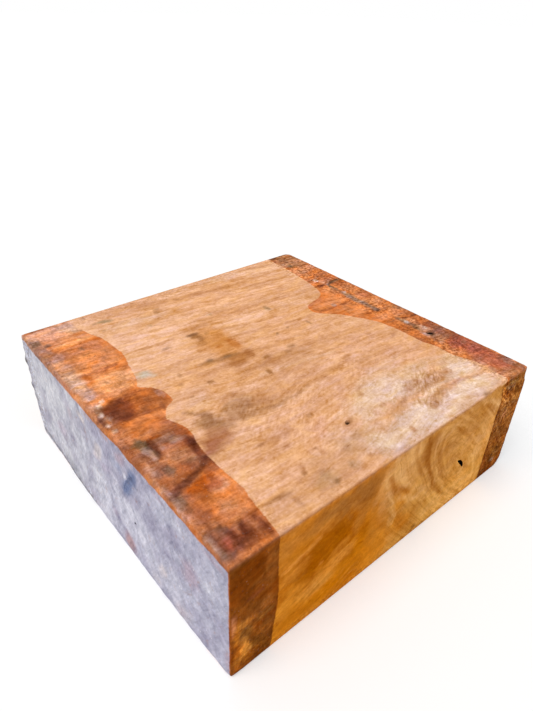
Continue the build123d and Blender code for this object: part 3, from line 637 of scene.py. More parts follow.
soakedTopLines = [
    (0.6, "chestnut", 60, -69, 28.4, -58, 26.8, -50, 24.8),
    (1.3, "darkMaroon", 75, -74, -43, -67, -41.4, -61, -39, -56, -36.6),
    (0.9, "maroon", 40, -72, -41, -64, -38.6, -57, -34), (0.8, "maroon", 40, -75, 51, -69, 48.4),
    (0.6, "chestnut", 70, 38, 11.4, 47, 11, 57, 10.4, 61, 10.6), (0.6, "darkMaroon", 100, 66, -16.4, 75, -17),
    (0.8, "dust", 40, 66.6, 60, 67, 52), (0.6, "brick", 50, 61, 24, 61.4, 12),
    (0.8, "russet", 40, 57.6, 44, 56, 34, 55.4, 30), (0.7, "russet", 50, 56, -14, 56.6, -30, 57.6, -40),
    (0.8, "maroon", 50, -56.4, -22, -56.6, -30, -58, -36), (0.7, "maroon", 50, -58.4, -62, -59, -72),
    (0.5, "burntOrange", 50, 42, 17.6, 52, 17, 60, 17.4), (0.5, "brick", 40, -68, 44, -58, 43, -51, 42.6),
    (0.4, "rust", 50, -68, 24.6, -56, 22.8), (0.7, "mossDark", 50, 71, -8, 73, -4, 74.4, -12),
    (0.8, "dirt", 85, 63.4, 29.4, 67.4, 31.2, 71, 31, 75, 30.2), (0.45, "residue", 70, 63, 30.4, 67.4, 32.4),
    (0.8, "darkMaroon", 60, -68.6, -60.4, -67.4, -65, -65.8, -70),
    (0.7, "darkMaroon", 50, -63.4, -61.8, -63, -70), (0.5, "maroon", 50, -59.4, -62, -58.8, -70),
    # the rust line at the end of the next line runs along the near arris: a worn arris with a painted
    # highlight on it
    (0.6, "darkMaroon", 50, -71.9, -61, -71.6, -69), (0.5, "rust", 50, -74.4, -72, -66, -71.8, -58, -71.6),
]
# near side, x and z in mm
bareNear = [
    (-50, 45, 9, 5, "lightAmber", 60), (-42, 45, 5, 4, "ringBrown", 45),
    (-38, 31, 13, 8, -8, "darkAmber", 90), (-46, 28, 6, 5, "darkAmber", 60),
    (-30, 37, 6, 4, -20, "darkAmber", 50), (-39.3, 25.4, 1.1, 0.6, -40, "sideLight", 60),
    (-47, 18.6, 11, 3, 8, "lightAmber", 90), (-34, 20.8, 8, 2.6, 12, "lightAmber", 90),
    (-52, 30, 4, 3, "lightAmber", 35), (-27, 46, 11, 4.6, "smoke", 95), (-22, 41, 5, 4, 20, "smoke", 70),
    (-27, 28, 7, 4.6, -20, "darkAmber", 55), (-40, 13, 8, 2.4, "lightAmber", 60),
    (-24, 10, 10, 7, "amber", 80), (-50, 8, 8, 6, "amber", 80), (-14, 24, 5, 7, 10, "ringBrown", 50),
    (-18, 37, 4, 4, 30, "lightAmber", 50), (-5, 45, 9, 5.6, 10, "honey", 90),
    (-2, 38.4, 4, 4, -50, "honey", 80), (1, 47, 5, 4, "honey", 50), (-12, 31, 3, 5, 10, "lightAmber", 60),
    (2, 17, 6, 3.4, -35, "ringBrown", 40), (-12, 6, 6, 3, "lightAmber", 70), (6, 4, 6, 2.4, "sand", 60),
    (6, 10, 5, 3, -30, "ringBrown", 35), (9, 43, 2.4, 8, "ringBrown", 75),
    (13, 46, 3, 4, 10, "ringBrown", 60), (19, 45, 4, 3, 20, "sand", 80), (22, 38, 3, 4, 10, "ringBrown", 45),
    (31, 45, 7, 3.6, "sand", 75), (32, 36, 6, 5, -20, "sand", 40), (32, 26, 5, 6, -45, "sand", 75),
    (42, 24, 5, 8, -20, "sand", 70), (47, 36, 4, 5, "sand", 70), (49, 26, 4, 9, "honey", 70),
    (54.4, 24, 2.4, 14, "sideOrange", 90), (41, 12, 6, 4, -40, "sideOrange", 70),
    (27, 8, 5, 4, -30, "honey", 80), (36, 5, 9, 3.4, "honey", 60), (48, 6, 6, 3.4, "sideOrange", 80),
    (52, 14, 4, 5, "sand", 60), (13, 22, 4, 4, -45, "sand", 70), (18, 11, 5, 3.4, -35, "sand", 60),
    (24, 14, 3.4, 3.4, -40, "sand", 70), (10, 29, 3, 4, -50, "sand", 70), (12.5, 4, 1.4, 1, -30, "olive", 85),
    (18.6, 1.8, 1.6, 1, "olive", 60), (-1, 24, 3, 4, 10, "lightAmber", 40),
    (-51, 31, 4.6, 4, 12, "lightAmber", 65), (-41, 16.6, 9, 3, 8, "sand", 30),
    (-32, 6.4, 10, 4.4, "deepAmber", 75), (-19, 8, 6, 5, "lightAmber", 50), (-39, 47, 5, 4, "smoke", 50),
    (-19.4, 47, 4, 4, "smoke", 60), (50.4, 38, 4, 5.6, "honey", 50), (40, 31, 4.6, 4.4, "honey", 45),
    (1, 28, 5, 5, -40, "lightAmber", 40), (2, 14, 6, 4, -30, "lightAmber", 55), (36, 7, 14, 4, "honey", 40),
    (21, 15, 4, 3, -40, "honey", 40), (43, 16, 5, 3.4, -30, "honey", 35), (-10, 36, 3, 5, 20, "honey", 45),
    (50, 48.6, 7, 2.4, -16, "sand", 70), (-20, 27, 4, 7, "amber", 40), (39, 46, 4, 3, "knotTan", 60),
    (-28, 22, 5, 2.6, 12, "sand", 20), (54.6, 26, 2.4, 14, "sideOrange", 60),
    (-51, 31.6, 6, 2, 14, "sideLight", 30), (-42, 15.8, 9, 2.2, 8, "sideLight", 40),
    (-31, 22.4, 6, 2, 14, "sideLight", 30), (-22, 13, 26, 11, "deepAmber", 30),
    (-20, 26.6, 4, 8, "deepAmber", 45), (-11, 29, 3, 6, 10, "honey", 35), (10, 47, 3, 3.4, "ringBrown", 40),
    (10, 15, 3, 4, -40, "ringBrown", 40), (30, 7.4, 17, 4.6, "honey", 40), (41, 14, 5, 4, -20, "honey", 30),
    (29, 39, 4, 4, -40, "ringBrown", 30), (50, 31, 3.4, 5, "honey", 35),
    (-50, 39.6, 5, 2.4, 12, "deepAmber", 45), (-19, 47, 4.4, 3.6, "smoke", 40),
    (-40, 47.6, 5, 3, "smoke", 40), (-22, 20, 3, 2, "deepAmber", 40), (-33, 8, 4, 3, -20, "deepAmber", 40),
    (-45, 29.6, 5, 3.4, 12, "darkAmber", 50), (-31, 33, 4, 3.4, -30, "darkAmber", 50),
    (-21, 18, 4, 2.4, -20, "darkAmber", 40), (-14.6, 33, 2.4, 6, 15, "ringBrown", 35),
    (-25, 9, 6, 3, 20, "darkAmber", 25), (-52, 44.6, 5.4, 4.4, "sideLight", 30),
    (-52, 20, 5, 3, 12, "lightAmber", 50), (-38, 42.4, 3.4, 1.2, 40, "sideLight", 35),
    (-7, 38.4, 1.3, 4.6, 20, "ringBrown", 50), (0, 32, 4, 1.4, -38, "ringBrown", 45),
    (10.4, 42, 1.6, 8, 4, "ringBrown", 35), (-4, 47, 4, 3, "honey", 45), (5, 24.6, 6, 1.5, -38, "honey", 40),
    (-54, 12, 3, 3, "sideLight", 25), (-43, 6, 5, 2.4, 10, "darkAmber", 25),
    (-12, 15, 4, 3, 30, "lightAmber", 40), (-3, 9, 3, 2, -20, "honey", 30), (16, 31, 1.6, 5, 25, "honey", 35),
    (-53, 44, 6, 6.4, "ringBrown", 30), (-44, 43.4, 6, 2.4, 20, "ringBrown", 30),
    (-56, 34, 2, 1.4, 12, "darkAmber", 60), (-31.4, 26.4, 4.4, 1.9, 22, "lightAmber", 65),
    (-22.4, 33, 2.8, 6, -10, "ringBrown", 55), (-19.6, 25, 2.6, 5.4, -10, "darkAmber", 40),
    (-14.4, 38.6, 2.6, 3.4, -20, "honey", 40), (-12.6, 28, 3, 7, 10, "deepAmber", 40),
    (-34.6, 18.8, 9.6, 2.2, 18, "sideLight", 45), (-26.4, 16.8, 3.4, 2.2, 20, "darkAmber", 45),
    (-23, 8.6, 6, 4, "deepAmber", 45), (-45, 24.4, 3, 3.6, "darkAmber", 40),
    (12.6, 9.4, 3, 3, -30, "ringBrown", 35), (15.4, 45.4, 1.8, 3.2, "ringBrown", 45),
    (19.8, 41, 2.2, 3.4, 10, "honey", 40), (-46, 11, 4, 2, 10, "sideLight", 25),
    (4, 38, 4, 3, -40, "honey", 30), (-16, 45, 2, 4, -15, "smoke", 40),
    (14.6, 46, 2.4, 3.4, 10, "ringBrown", 50), (19.6, 41.6, 2.6, 3.4, 20, "honey", 50),
    (-19, 38, 3, 3.4, "ringBrown", 40), (-36, 41, 5, 2, 12, "ringBrown", 35), (-15, 49, 3, 2.4, "smoke", 50),
    (-40, 17, 8, 2, 14, "sideLight", 35), (-8, 12, 5, 3, -40, "deepAmber", 25),
    (1.6, 22, 3, 2, -40, "ringBrown", 30), (26, 45, 6, 3, 10, "honey", 50),
    (54.6, 41.4, 2.8, 3, -35, "honey", 80), (16, 33, 1.6, 4.4, 20, "ringBrown", 50),
    (-7, 29, 1.7, 6, 12, "honey", 50), (-5, 20.4, 1.8, 3, 10, "honey", 50),
    (-50, 30.6, 5, 3.4, 10, "lightAmber", 30), (-50, 40.6, 5, 2.4, 10, "deepAmber", 25),
    (-5, 40, 8, 4, -20, "honey", 30), (-11, 31, 2.6, 4, "honey", 25), (-40, 14.4, 7, 3, 10, "sand", 30),
    (53, 48.6, 5.4, 1.9, -26, "knotTan", 70), (56.6, 46, 1.4, 1.8, "ringBrown", 40),
]
bareNearLines = [
    (1.2, "sideLight", 85, -56, 33.6, -51, 35, -46, 36.6, -42, 38.2),
    (0.8, "darkAmber", 60, -57, 31.4, -50, 33, -43, 35),
    (1.2, "darkAmber", 70, -9.4, 43, -7.4, 38.6, -5, 34.6),
    (1.2, "darkAmber", 65, -3.6, 35, -0.6, 32.8, 3.4, 29.6), (1.0, "honey", 80, -7, 32, -5.4, 26, -3, 18),
    (0.7, "darkAmber", 35, -50, 19, -44, 19.4, -36, 21), (0.8, "ringBrown", 35, -56, 27.4, -50, 26, -46, 27),
    (0.9, "honey", 70, -12, 42, -9, 35, -6, 29, -3, 21), (0.8, "ringBrown", 40, -10, 33, -7, 27, -4, 19),
    (1.5, "honey", 80, -5, 42, 0, 35.6, 6, 29.6, 13, 23, 20, 15.6, 27, 9),
    (0.9, "honey", 75, -2, 29.6, 3, 25.6, 9, 21.4, 15, 17),
    (0.9, "ringBrown", 45, 0, 24, 6, 20, 12, 15.6, 18, 10),
    (1.3, "ringBrown", 75, 9.6, 50, 10.6, 42, 13, 34, 16.6, 27, 21, 20, 26, 14),
    (0.8, "ringBrown", 35, 6.4, 50, 6.6, 42, 9, 35, 13, 29),
    (0.8, "honey", 55, 15, 44, 16, 38, 18.6, 32, 22.6, 25),
    (0.9, "ringBrown", 60, 19, 41, 20, 34, 22.6, 28, 26, 21.6, 30, 15.6),
    (0.8, "ringBrown", 40, 24, 35, 25.6, 29, 28, 24), (0.8, "ringBrown", 60, 23, 18, 28, 12, 34, 6.6),
    (0.8, "ringBrown", 45, 27, 17, 32, 11.6, 38, 7.6, 44, 5),
    (0.8, "sideOrange", 60, 30, 22, 33, 17, 37, 13.4), (1.0, "smoke", 50, -34, 50, -30, 42, -28, 38),
    (0.7, "ringBrown", 35, 24, 48, 31, 42, 36, 36), (0.7, "ringBrown", 40, 33, 48.4, 40, 42, 46, 35),
    (0.7, "ringBrown", 35, 38, 36, 43, 31, 46, 26), (0.7, "ringBrown", 35, 36, 32, 41, 27.6, 43.6, 22),
    (0.7, "ringBrown", 40, 41, 18.4, 46, 14.6, 52, 11),
    (0.7, "ringBrown", 50, -58, 2, -30, 1.6, 0, 1.4, 30, 1.4),
    # the two honey lines here, along the wane's lower edge, are a painted highlight on its ridge
    (0.9, "honey", 75, 42.5, 50.6, 48, 47.4, 54, 44, 57.4, 41.6),
    (0.8, "ringBrown", 40, 41, 49, 47, 45, 53, 41), (0.9, "honey", 85, 44, 49.4, 50, 46, 55.6, 42.6),
    (0.8, "ringBrown", 30, 46, 40, 52, 34, 54, 26),
]
soakedNear = [
    (-68, 43, 9, 9, "sideBrown", 95), (-60.6, 44, 2.6, 7, "sideRust", 75), (-63, 37, 5, 4, "sideRust", 50),
    (-66, 26, 9, 3.4, "sideRust", 90), (-61.6, 27, 2.4, 3.4, "sideTan", 35), (-62, 21.6, 3, 2, "olive", 60),
    (-69, 19, 3, 2.4, 20, "olive", 70), (-62, 19, 3, 1.6, "sideBrown", 50), (-64, 9.6, 8, 8, "sideDeep", 90),
    (-69.8, 10, 2, 4.6, "sideGold", 95), (-72.6, 20, 1.2, 5, "sideGold", 60), (-73.6, 26, 1, 5, "salmon", 50),
    (-70.4, 3.4, 2, 2, "sideRust", 80), (-64, 14, 1, 3, "sideRust", 50), (-66, 34, 3, 1.4, "maroon", 35),
    # right band: the olive, deep and moss-dark patches turned by -12 degrees lie on the wane facet and are
    # painted shade there
    (66, 31, 9, 10, "sideTan", 85), (60.4, 27, 1.8, 6, "sideDeep", 50), (61, 39, 3, 4, "sideTan", 70),
    (60.6, 15, 2.6, 6, "sideDeep", 80), (66, 22, 5, 4, "sideRust", 60), (66, 12, 5, 5, "sideDeep", 75),
    (60.6, 5, 3, 4, "sideBrown", 70), (72.6, 20, 1.8, 14, "sideTan", 60),
    (66.6, 7, 2, 0.7, -25, "dustyCream", 40), (70, 10, 1.6, 0.6, -25, "honey", 40),
    (68, 4, 5, 2, "sideRust", 50), (67, 47, 6, 2.6, -12, "olive", 90),
    (61, 42, 3, 1.6, -20, "sideOrange", 50), (68, 40.6, 4, 1, -12, "sideOrange", 35),
    (64, 33, 1.4, 2, "salmon", 40), (64.6, 26, 0.9, 2.6, "sideDeep", 50), (69, 28, 0.9, 3, "sideDeep", 40),
    (68.6, 16, 1, 2.4, "sideTan", 50), (59.6, 47.4, 2, 2.4, -16, "sideOrange", 80),
    (70.6, 46.4, 4, 3.4, -12, "sideDeep", 70), (60, 15, 2, 5, "sideTan", 50),
    (-69.6, 9, 2.2, 5.4, "sideLight", 80), (-70, 16, 1.4, 2, 20, "sideLight", 50),
    (-61.4, 14, 2, 5, "sideRust", 50), (-72.6, 30, 1.4, 4, "sideBrown", 50),
    (60, 46.6, 2.6, 2.4, -16, "sideLight", 40), (70.6, 47.6, 4, 2.8, -12, "olive", 60),
    (66, 46.4, 6, 1.2, -12, "sideDeep", 45), (69.6, 39.6, 4, 2, "sideLight", 35),
    (-70, 23.4, 3, 2, "sideLight", 35), (-67.6, 31, 5, 2.4, "sideDeep", 35),
    (71.4, 47.4, 2.6, 4, -12, "sideTan", 60), (63.2, 47, 3.4, 2, -12, "mossDark", 80),
    (-72.6, 8, 1.4, 5, "sideGold", 50), (60, 9, 2, 7, "sideTan", 35),
    (61, 44.8, 2.4, 1.4, -12, "sideTan", 85), (64.6, 43, 3.4, 1.2, -12, "sideTan", 90),
    (71, 50, 2, 1.4, "sideTan", 60), (64, 48.4, 5, 1.6, -12, "olive", 50), (66, 24, 8, 18, "olive", 25),
    (-69, 4.4, 2.6, 2.6, "sideDeep", 85), (-72.6, 22, 1.2, 5, "sideGold", 40),
    (64, 44.6, 4, 1.8, -12, "sideTan", 60), (-60, 42, 1.4, 6, "sideRust", 45),
]
soakedNearLines = [
    (0.6, "sideBrown", 50, -58.4, 48, -57.8, 34, -58.2, 18, -60, 2),
    (0.6, "sideBrown", 60, 57.6, 40, 57.2, 30, 57.6, 16, 57.6, 3),
    (0.6, "sideBrown", 75, 58.6, 49.6, 64, 47.6, 70, 45),
    (0.7, "sideBrown", 70, 60.8, 46, 66, 43.8, 72.4, 42), (0.8, "sideBrown", 50, -70, 32, -60, 31),
    (0.6, "sideBrown", 40, -74, 22, -66, 21, -60, 22),
]
# waxed ends, y and z in mm
waxedEnd = [
    (-66, 38, 8, 9, "waxBlue", 70), (-62.6, 33, 1.6, 4.4, 40, "waxPale", 80), (-48, 44, 9, 4, "waxBlue", 60),
    (-52.6, 29, 4, 6, 20, "waxPink", 55), (-55, 27, 3, 5, 10, "waxLilac", 50),
    (-44, 37.6, 5, 2.6, -25, "waxMauve", 75), (-40, 33, 4, 3.4, -20, "waxMauve", 55),
    (-31, 29, 2.6, 4, "waxMauve", 45), (-70, 20, 3, 4, -30, "waxMauve", 40), (-60, 10, 8, 5, "waxMauve", 35),
    (-48, 4.6, 5, 3.4, -20, "waxCream", 50), (-47, 5, 2, 2.4, -30, "waxPink", 40),
    (-42, 12, 7, 9, "waxPale", 60), (-36, 12.4, 2.4, 4, 35, "waxCream", 70),
    (-32.6, 5, 3, 2.4, "waxCream", 50), (-72, 8, 1.6, 6, "waxPink", 50), (-18, 20, 12, 8, "waxPale", 65),
    (-26, 14, 5, 4, "waxPale", 50), (-12, 13, 6, 3, 20, "waxPale", 60),
    (-20.6, 42.6, 2.4, 4.4, 32, "waxInk", 90), (-17.4, 36, 2.4, 4.4, 32, "waxDeep", 90),
    (-14, 32.4, 3, 3.4, 30, "waxDeep", 85), (-15.6, 39.4, 1.1, 1.8, 30, "waxPale", 90),
    (-11.6, 40, 2, 2.2, "waxDeep", 45), (-7, 39.6, 2.6, 2, 20, "waxDeep", 45),
    (-13.4, 45.6, 4.4, 2.2, -30, "waxPink", 70), (-28, 46, 4, 2.4, "waxMauve", 60),
    (-30, 47.6, 6, 1.2, "waxMauve", 50), (-14, 5.6, 4.6, 4, 10, "waxPink", 75),
    (-13, 5.4, 2.4, 3, 20, "waxRust", 35), (-2.4, 12, 1.8, 2.4, 20, "waxPink", 55),
    (0, 9, 1.6, 3.4, 30, "waxMauve", 50), (-6, 28, 4, 5, "waxPale", 55), (6, 5, 6, 4, "waxPale", 60),
    (6, 34.6, 2.2, 4.6, 42, "waxCream", 70), (1, 30.6, 5, 2, -30, "waxLilac", 60),
    (8, 31, 3, 1.6, "waxLilac", 50), (17, 43.6, 3, 2, 20, "waxCream", 80), (7.6, 43.6, 4, 3, "waxMauve", 75),
    (-2, 45, 5, 2.4, "waxMauve", 40), (18, 36, 4, 3, "waxMauve", 45),
    (13.6, 25.6, 1.4, 3, 10, "waxMauve", 60), (6, 16, 8, 8, "waxPale", 70), (4, 24, 6, 4, "waxPale", 50),
    (27, 17, 6, 5, "waxBlue", 50), (12, 5, 7, 2.4, "waxLilac", 40), (29, 38, 1.8, 2.6, "waxPink", 45),
    (24, 30, 5, 5, "waxBlue", 50), (48, 38, 16, 9, "waxPale", 60), (50, 24, 10, 4, "waxPale", 40),
    (42, 21, 5, 4.4, "waxLilac", 60), (40, 9, 8, 3, -20, "waxPale", 50), (33, 12, 3, 2.4, "waxMauve", 35),
    (58, 41, 3, 2.6, -20, "waxMauve", 45), (62, 16, 5, 5, 20, "waxMauve", 50),
    (66, 30, 3, 6, 10, "waxPale", 40), (70, 20, 2, 5, "waxGrime", 45), (70, 34, 1.4, 4, "waxMauve", 50),
    (62, 26, 3, 3, "waxBlue", 50), (66, 6, 4, 2.4, "waxMauve", 50), (-2.6, 48, 3, 1, "waxRust", 50),
    (10, 48, 4, 1, "waxRust", 40), (-22, 48.4, 3.4, 1.1, "waxMauve", 80), (-30, 9, 5, 6.4, 20, "waxPale", 50),
    (0, 6, 8, 4.6, "waxPale", 50), (-6, 20, 4, 6, "waxPale", 40), (36, 5, 9, 3.2, "waxGrime", 30),
    (30, 12, 4, 4, "waxMauve", 35), (66, 24, 4, 8, "waxPale", 50), (54, 13, 4, 4, "waxPale", 45),
    (42, 21, 4.6, 4, "waxLilac", 50), (-14, 6, 4.4, 4, 10, "waxPink", 60),
    (-13.6, 5.6, 3, 3.4, 10, "waxRust", 30), (6, 35, 2.6, 4.6, 42, "waxCream", 55),
    (6, 45.6, 4, 3, "waxMauve", 50), (-46, 46, 8, 3, "waxPale", 50), (-54, 29, 4, 5, 10, "waxPink", 40),
    (-6, 38, 3, 3, "waxPale", 40), (-66, 48, 5, 1.2, "waxPink", 60), (-50, 48, 5, 1, "waxLilac", 40),
    (-38, 48, 4, 1, "waxPink", 50),
]
waxedEndLines = [
    (0.8, "waxInk", 50, -24, 49, -22, 45, -18.6, 39, -15, 33, -12, 29),
    (0.9, "waxGrime", 75, 16, 1.4, 40, 2, 56, 3, 71, 4.4),
    (0.6, "waxMauve", 60, -72, 1.4, -40, 1.2, 0, 1.4, 24, 1.4),
    (0.9, "waxMauve", 50, -62, 24, -57, 31, -48, 37), (0.6, "waxMauve", 50, 12, 29, 15, 24, 18, 18),
    (0.7, "waxPale", 50, 40, 30, 50, 22, 58, 12), (0.6, "waxMauve", 40, 54, 34, 62, 26, 70, 16),
    (0.6, "waxPale", 40, -30, 40, -24, 30, -18, 22),
]

# where the soaked bands end: on the top x at each y, on the near side x at each z, left band then right
topEdgeLeft = [
    (75, -54.5), (65, -54), (56, -52), (50, -49.5), (45, -49), (35, -48.2), (30, -49), (25, -50.5),
    (20, -51.5), (15, -52.5), (12, -54), (10.5, -55), (9, -53.5), (7, -51), (4, -49.3), (1, -48.3),
    (-2, -48.4), (-4.5, -48.8), (-6, -52), (-8, -54), (-12, -56.2), (-14, -55.3), (-17, -54), (-20, -53.2),
    (-24, -53.3), (-28, -54.7), (-35, -55.5), (-42, -55.5), (-53, -55), (-58, -56), (-66, -57), (-75, -58),
]
topEdgeRight = [
    (75, 60), (55, 59.5), (45, 58.3), (35, 57), (27, 55), (24, 53), (22.5, 51), (21.5, 48), (20.5, 43),
    (19, 39.5), (17, 38), (13, 37.4), (11.5, 38.3), (9.5, 39.8), (7, 42.5), (3, 46.6), (-2, 49.3), (-5, 51.3),
    (-9, 53.5), (-13, 55), (-21, 56.2), (-34, 56), (-40, 57.8), (-48, 57.5), (-54, 59.5), (-57, 60.5),
    (-62, 60.3), (-75, 60),
]
nearEdgeLeft = [
    (53, -58), (40, -58), (30, -57.3), (20, -57.5), (10, -58.7), (5, -58.9), (-1, -60),
]
nearEdgeRight = [
    (53, 59.4), (46, 57.6), (42, 57.2), (35, 56.5), (30, 57), (-1, 57),
]
farEdgeLeft = [
    (53, -54.5), (34, -56), (18, -58.6), (-1, -60),
]
farEdgeRight = [
    (53, 60), (38, 58.6), (20, 56), (-1, 54.5),
]
soakedEndRim = [
    (66, 51.5, 9, 3, "residue", 70), (20, 51.5, 22, 3, "burntOrange", 80),
    (-10, 51.5, 6, 3, "deepOrange", 60), (-50, 51.5, 16, 3, "burntOrange", 70),
    (0, 51.5, 4, 3, "chestnut", 60), (-68, 51.5, 6, 3, "maroon", 70), (44, 51.5, 6, 3, "brick", 70),
    (-30, 51.5, 7, 3, "brick", 60), (-30, 51.5, 46, 4, "tawny", 55), (40, 51.5, 34, 4, "residue", 35),
    (-22, 51.5, 8, 4, "chestnut", 50), (-60, 51.5, 7, 4, "umberRed", 50), (52, 51.5, 24, 4, "greyMauve", 55),
    (8, 51.5, 12, 4, "tawny", 40),
]


# laying the paint on the vertices: soft clouds, patches and lines in face coordinates.
# A name in From holds where a change starts and how wide it is, in mm, below 0 to the left or down

paint = {
    "latticeCells": 24,
    "octaveShare": 0.6,
    "edgeSamples": 320,
    "lineSamples": 70,
    "bareSoftness": 0.45,
    "soakedSoftness": 0.28,
    "patchWobble": 3.0,
    "patchSway": 0.35,
    "patchSwayMost": 1.5,
    "lineWobble": 4.0,
    "lineSway": 0.7,
    "lineSoftness": 1.5,
    "lineBreaks": ((3.0, 1.2, 3.0), 0.8, 0.35),
    "topLift": (0.995, 1.01, 1.05),
    "nearLift": 1.27,
    "knotWoodFrom": (-22, 26),
    "lowRight": 0.12,
    "lowRightFrom": ((14, 30), (40, -14)),
    "lowNear": (0.05, 0.09, -0.14),
    "lowNearFrom": (38, -34),
    "hatch": 0.06,
    "hatchTurn": -58,
    "hatchSizes": (9, 3.0, 9),
    "hatchFrom": (2, -14),
    "arrisFade": 1.3,
    "arrisClouds": (3.0, 0.75, 0.3),
    "waneFade": 0.8,
    "waneFrom": (54, 8),
    "endLift": (1.01, 1.0, 0.98),
    "farWax": (0.13, 0.14, 0.05),
    "farWaxFrom": (-4, 30),
    "waxTop": 50.1,
    "waxDrop": 0.7,
    "waxDropFrom": ((-14, 12), (66, -12)),
    "waxEdge": 0.6,
    "waxEdgeWave": 0.6,
    "waxWave": 0.42,
    "waxWaveSize": 5.0,
    "waxReach": 1.5,
    "soakReach": 4.0,
    "grimeFrom": (1.2, -0.4),
    "grimeClouds": (8.0, 0.85, 0.4),
    "grimeMost": 1.4,
    "crustShade": 1.4,
    "crustShadeMost": 0.85,
    "markReach": 1.15,
    "markBeyond": 0.2,
    "stain": 0.35,
    "stainFrom": (1.5, -0.8),
    "stainDepth": 1.5,
}
# plain colour of each part before the patches: two tones, the clouds' sizes in mm, seed and strength
grounds = {
    "top": ("peach", "wheat", (22, 5, 5), 11, 0.5),
    "soakedTop": ("rust", "burntOrange", (3, 6, 6), 12, 0.5),
    "near": ("amber", "lightAmber", (14, 14, 5), 21, 0.35),
    "knot": ("knotTan", "sand", (9, 9, 6), 24, 0.45),
    "soakedNear": ("sideRust", "sideBrown", (4, 4, 7), 22, 0.5),
    "end": ("rust", "maroon", 4, 31, 0.5),
    "wax": ("waxBlue", "waxMauve", 7, 33, 0.5),
}
# seeds of the random fields: patches also take the next number, and lines the next two
seeds = {
    "topFields": 13, "topSpots": 14, "topLines": 15, "soakedTop": 16, "soakedTopLines": 17, "near": 23,
    "nearLines": 25, "soakedNear": 26, "soakedNearLines": 27, "arris": 28, "hatch": 29, "endRim": 32,
    "waxed": 34, "waxedLines": 35, "rings": 41, "ringShare": 42, "waxWave": 51, "figure": 61, "curl": 62,
    "knot": 63, "farFigure": 64, "flecks": 65, "grime": 71,
}
sides = ("left", "right", "near", "far", "bottom", "top")
waxSides = ("left", "right")
wideSides = ("top", "bottom")
markedSides = {"x": "left", "y": "near", "z": "top"}


def linear(tone, lift=1.0):
    # a colour as it looks, with the sRGB curve undone
    seen = np.array(tones[tone]) / 255
    return np.where(seen <= 0.04045, seen / 12.92, ((seen + 0.055) / 1.055) ** 2.4) * np.array(lift)


def cloud(spots, size, seed, octaves=3):
    # soft random field about zero, the same on each run
    draw = np.random.default_rng(seed)
    cells = paint["latticeCells"]
    total = np.zeros(len(spots))
    for octave in range(octaves):
        lattice = draw.uniform(-1, 1, (cells, cells, cells))
        spot = spots / (np.array(size) / 2 ** octave) + draw.uniform(0, cells, 3)
        cell = np.floor(spot).astype(int)
        part = smooth(spot - cell)
        for corner in np.ndindex(2, 2, 2):
            weight = np.prod(np.where(corner, part, 1 - part), axis=1)
            index = (cell + corner) % cells
            value = lattice[index[:, 0], index[:, 1], index[:, 2]]
            total += weight * value * paint["octaveShare"] ** octave
    return total


def clouded(spots, seed, size, middle, swing):
    return middle + swing * cloud(spots, size, seed)


def flatSpots(u, v):
    return np.stack([u, v, np.zeros(len(u))], axis=1)


def hill(u, v, atU, atV, halfU, halfV):
    return np.exp(-((u - atU) / halfU) ** 2 - ((v - atV) / halfV) ** 2)


def turned(u, v, degrees):
    # how far along and across a direction each spot is
    cosine, sine = math.cos(math.radians(degrees)), math.sin(math.radians(degrees))
    return u * cosine + v * sine, v * cosine - u * sine


def alongSide(side, place):
    # mirrored on the sides that repeat the one opposite
    along = place[:, 1] if side in waxSides else place[:, 0]
    return along if side in ("top", "near", "left") else -along


def distanceTo(points, u, v, samples):
    # distance to the line through the points
    points = np.array(points, float)
    run = np.concatenate([[0], np.cumsum(np.hypot(*np.diff(points, axis=0).T))])
    steps = np.linspace(0, run[-1], samples)
    nearest = np.full(len(u), np.inf)
    for atU, atV in zip(np.interp(steps, run, points[:, 0]), np.interp(steps, run, points[:, 1])):
        nearest = np.minimum(nearest, (u - atU) ** 2 + (v - atV) ** 2)
    return np.sqrt(nearest)


def wobble(spots, size, seed):
    return cloud(spots, size, seed), cloud(spots, size, seed + 1)


def layTone(colour, tone, mask, lift=1.0):
    colour += (linear(tone, lift) - colour) * mask[:, None]


def layPatches(colour, u, v, patches, lift, seed, soft=paint["bareSoftness"]):
    wobbleU, wobbleV = wobble(flatSpots(u, v), paint["patchWobble"], seed)
    for *spot, tone, strength in patches:
        atU, atV, halfU, halfV, turn = (*spot, 0)[:5]
        sway = min(paint["patchSway"] * min(halfU, halfV), paint["patchSwayMost"])
        along, across = turned(u + wobbleU * sway - atU, v + wobbleV * sway - atV, turn)
        reach = np.hypot(along / halfU, across / halfV)
        layTone(colour, tone, strength / 100 * smooth((1 + soft - reach) / (2 * soft)), lift)


def layLines(colour, u, v, lines, lift, seed):
    spots = flatSpots(u, v)
    wobbleU, wobbleV = wobble(spots, paint["lineWobble"], seed)
    swayU, swayV = u + wobbleU * paint["lineSway"], v + wobbleV * paint["lineSway"]
    breaks = clouded(spots, seed + 2, *paint["lineBreaks"])
    for half, tone, strength, *points in lines:
        away = distanceTo(np.reshape(points, (-1, 2)), swayU, swayV, paint["lineSamples"])
        mask = strength / 100 * smooth(paint["lineSoftness"] - away / half) * breaks
        layTone(colour, tone, np.clip(mask, 0, 1), lift)


def insideEdge(edge, u, v, side):
    # distance inside a soaked band, in mm: the band lies towards -u for side -1 and towards +u for 1
    away = distanceTo([(along, across) for across, along in edge], u, v, paint["edgeSamples"])
    across, along = zip(*sorted(edge))
    return np.where((u - np.interp(v, across, along)) * side > 0, away, -away)


def insideBands(left, right, u, v):
    return np.maximum(insideEdge(left, u, v, -1), insideEdge(right, u, v, 1))


def mixed(spots, base, other, size, seed, strength):
    # one tone clouded with another
    share = np.clip(clouded(spots, seed, size, 0.5, strength), 0, 1)[:, None]
    return linear(base) * (1 - share) + linear(other) * share


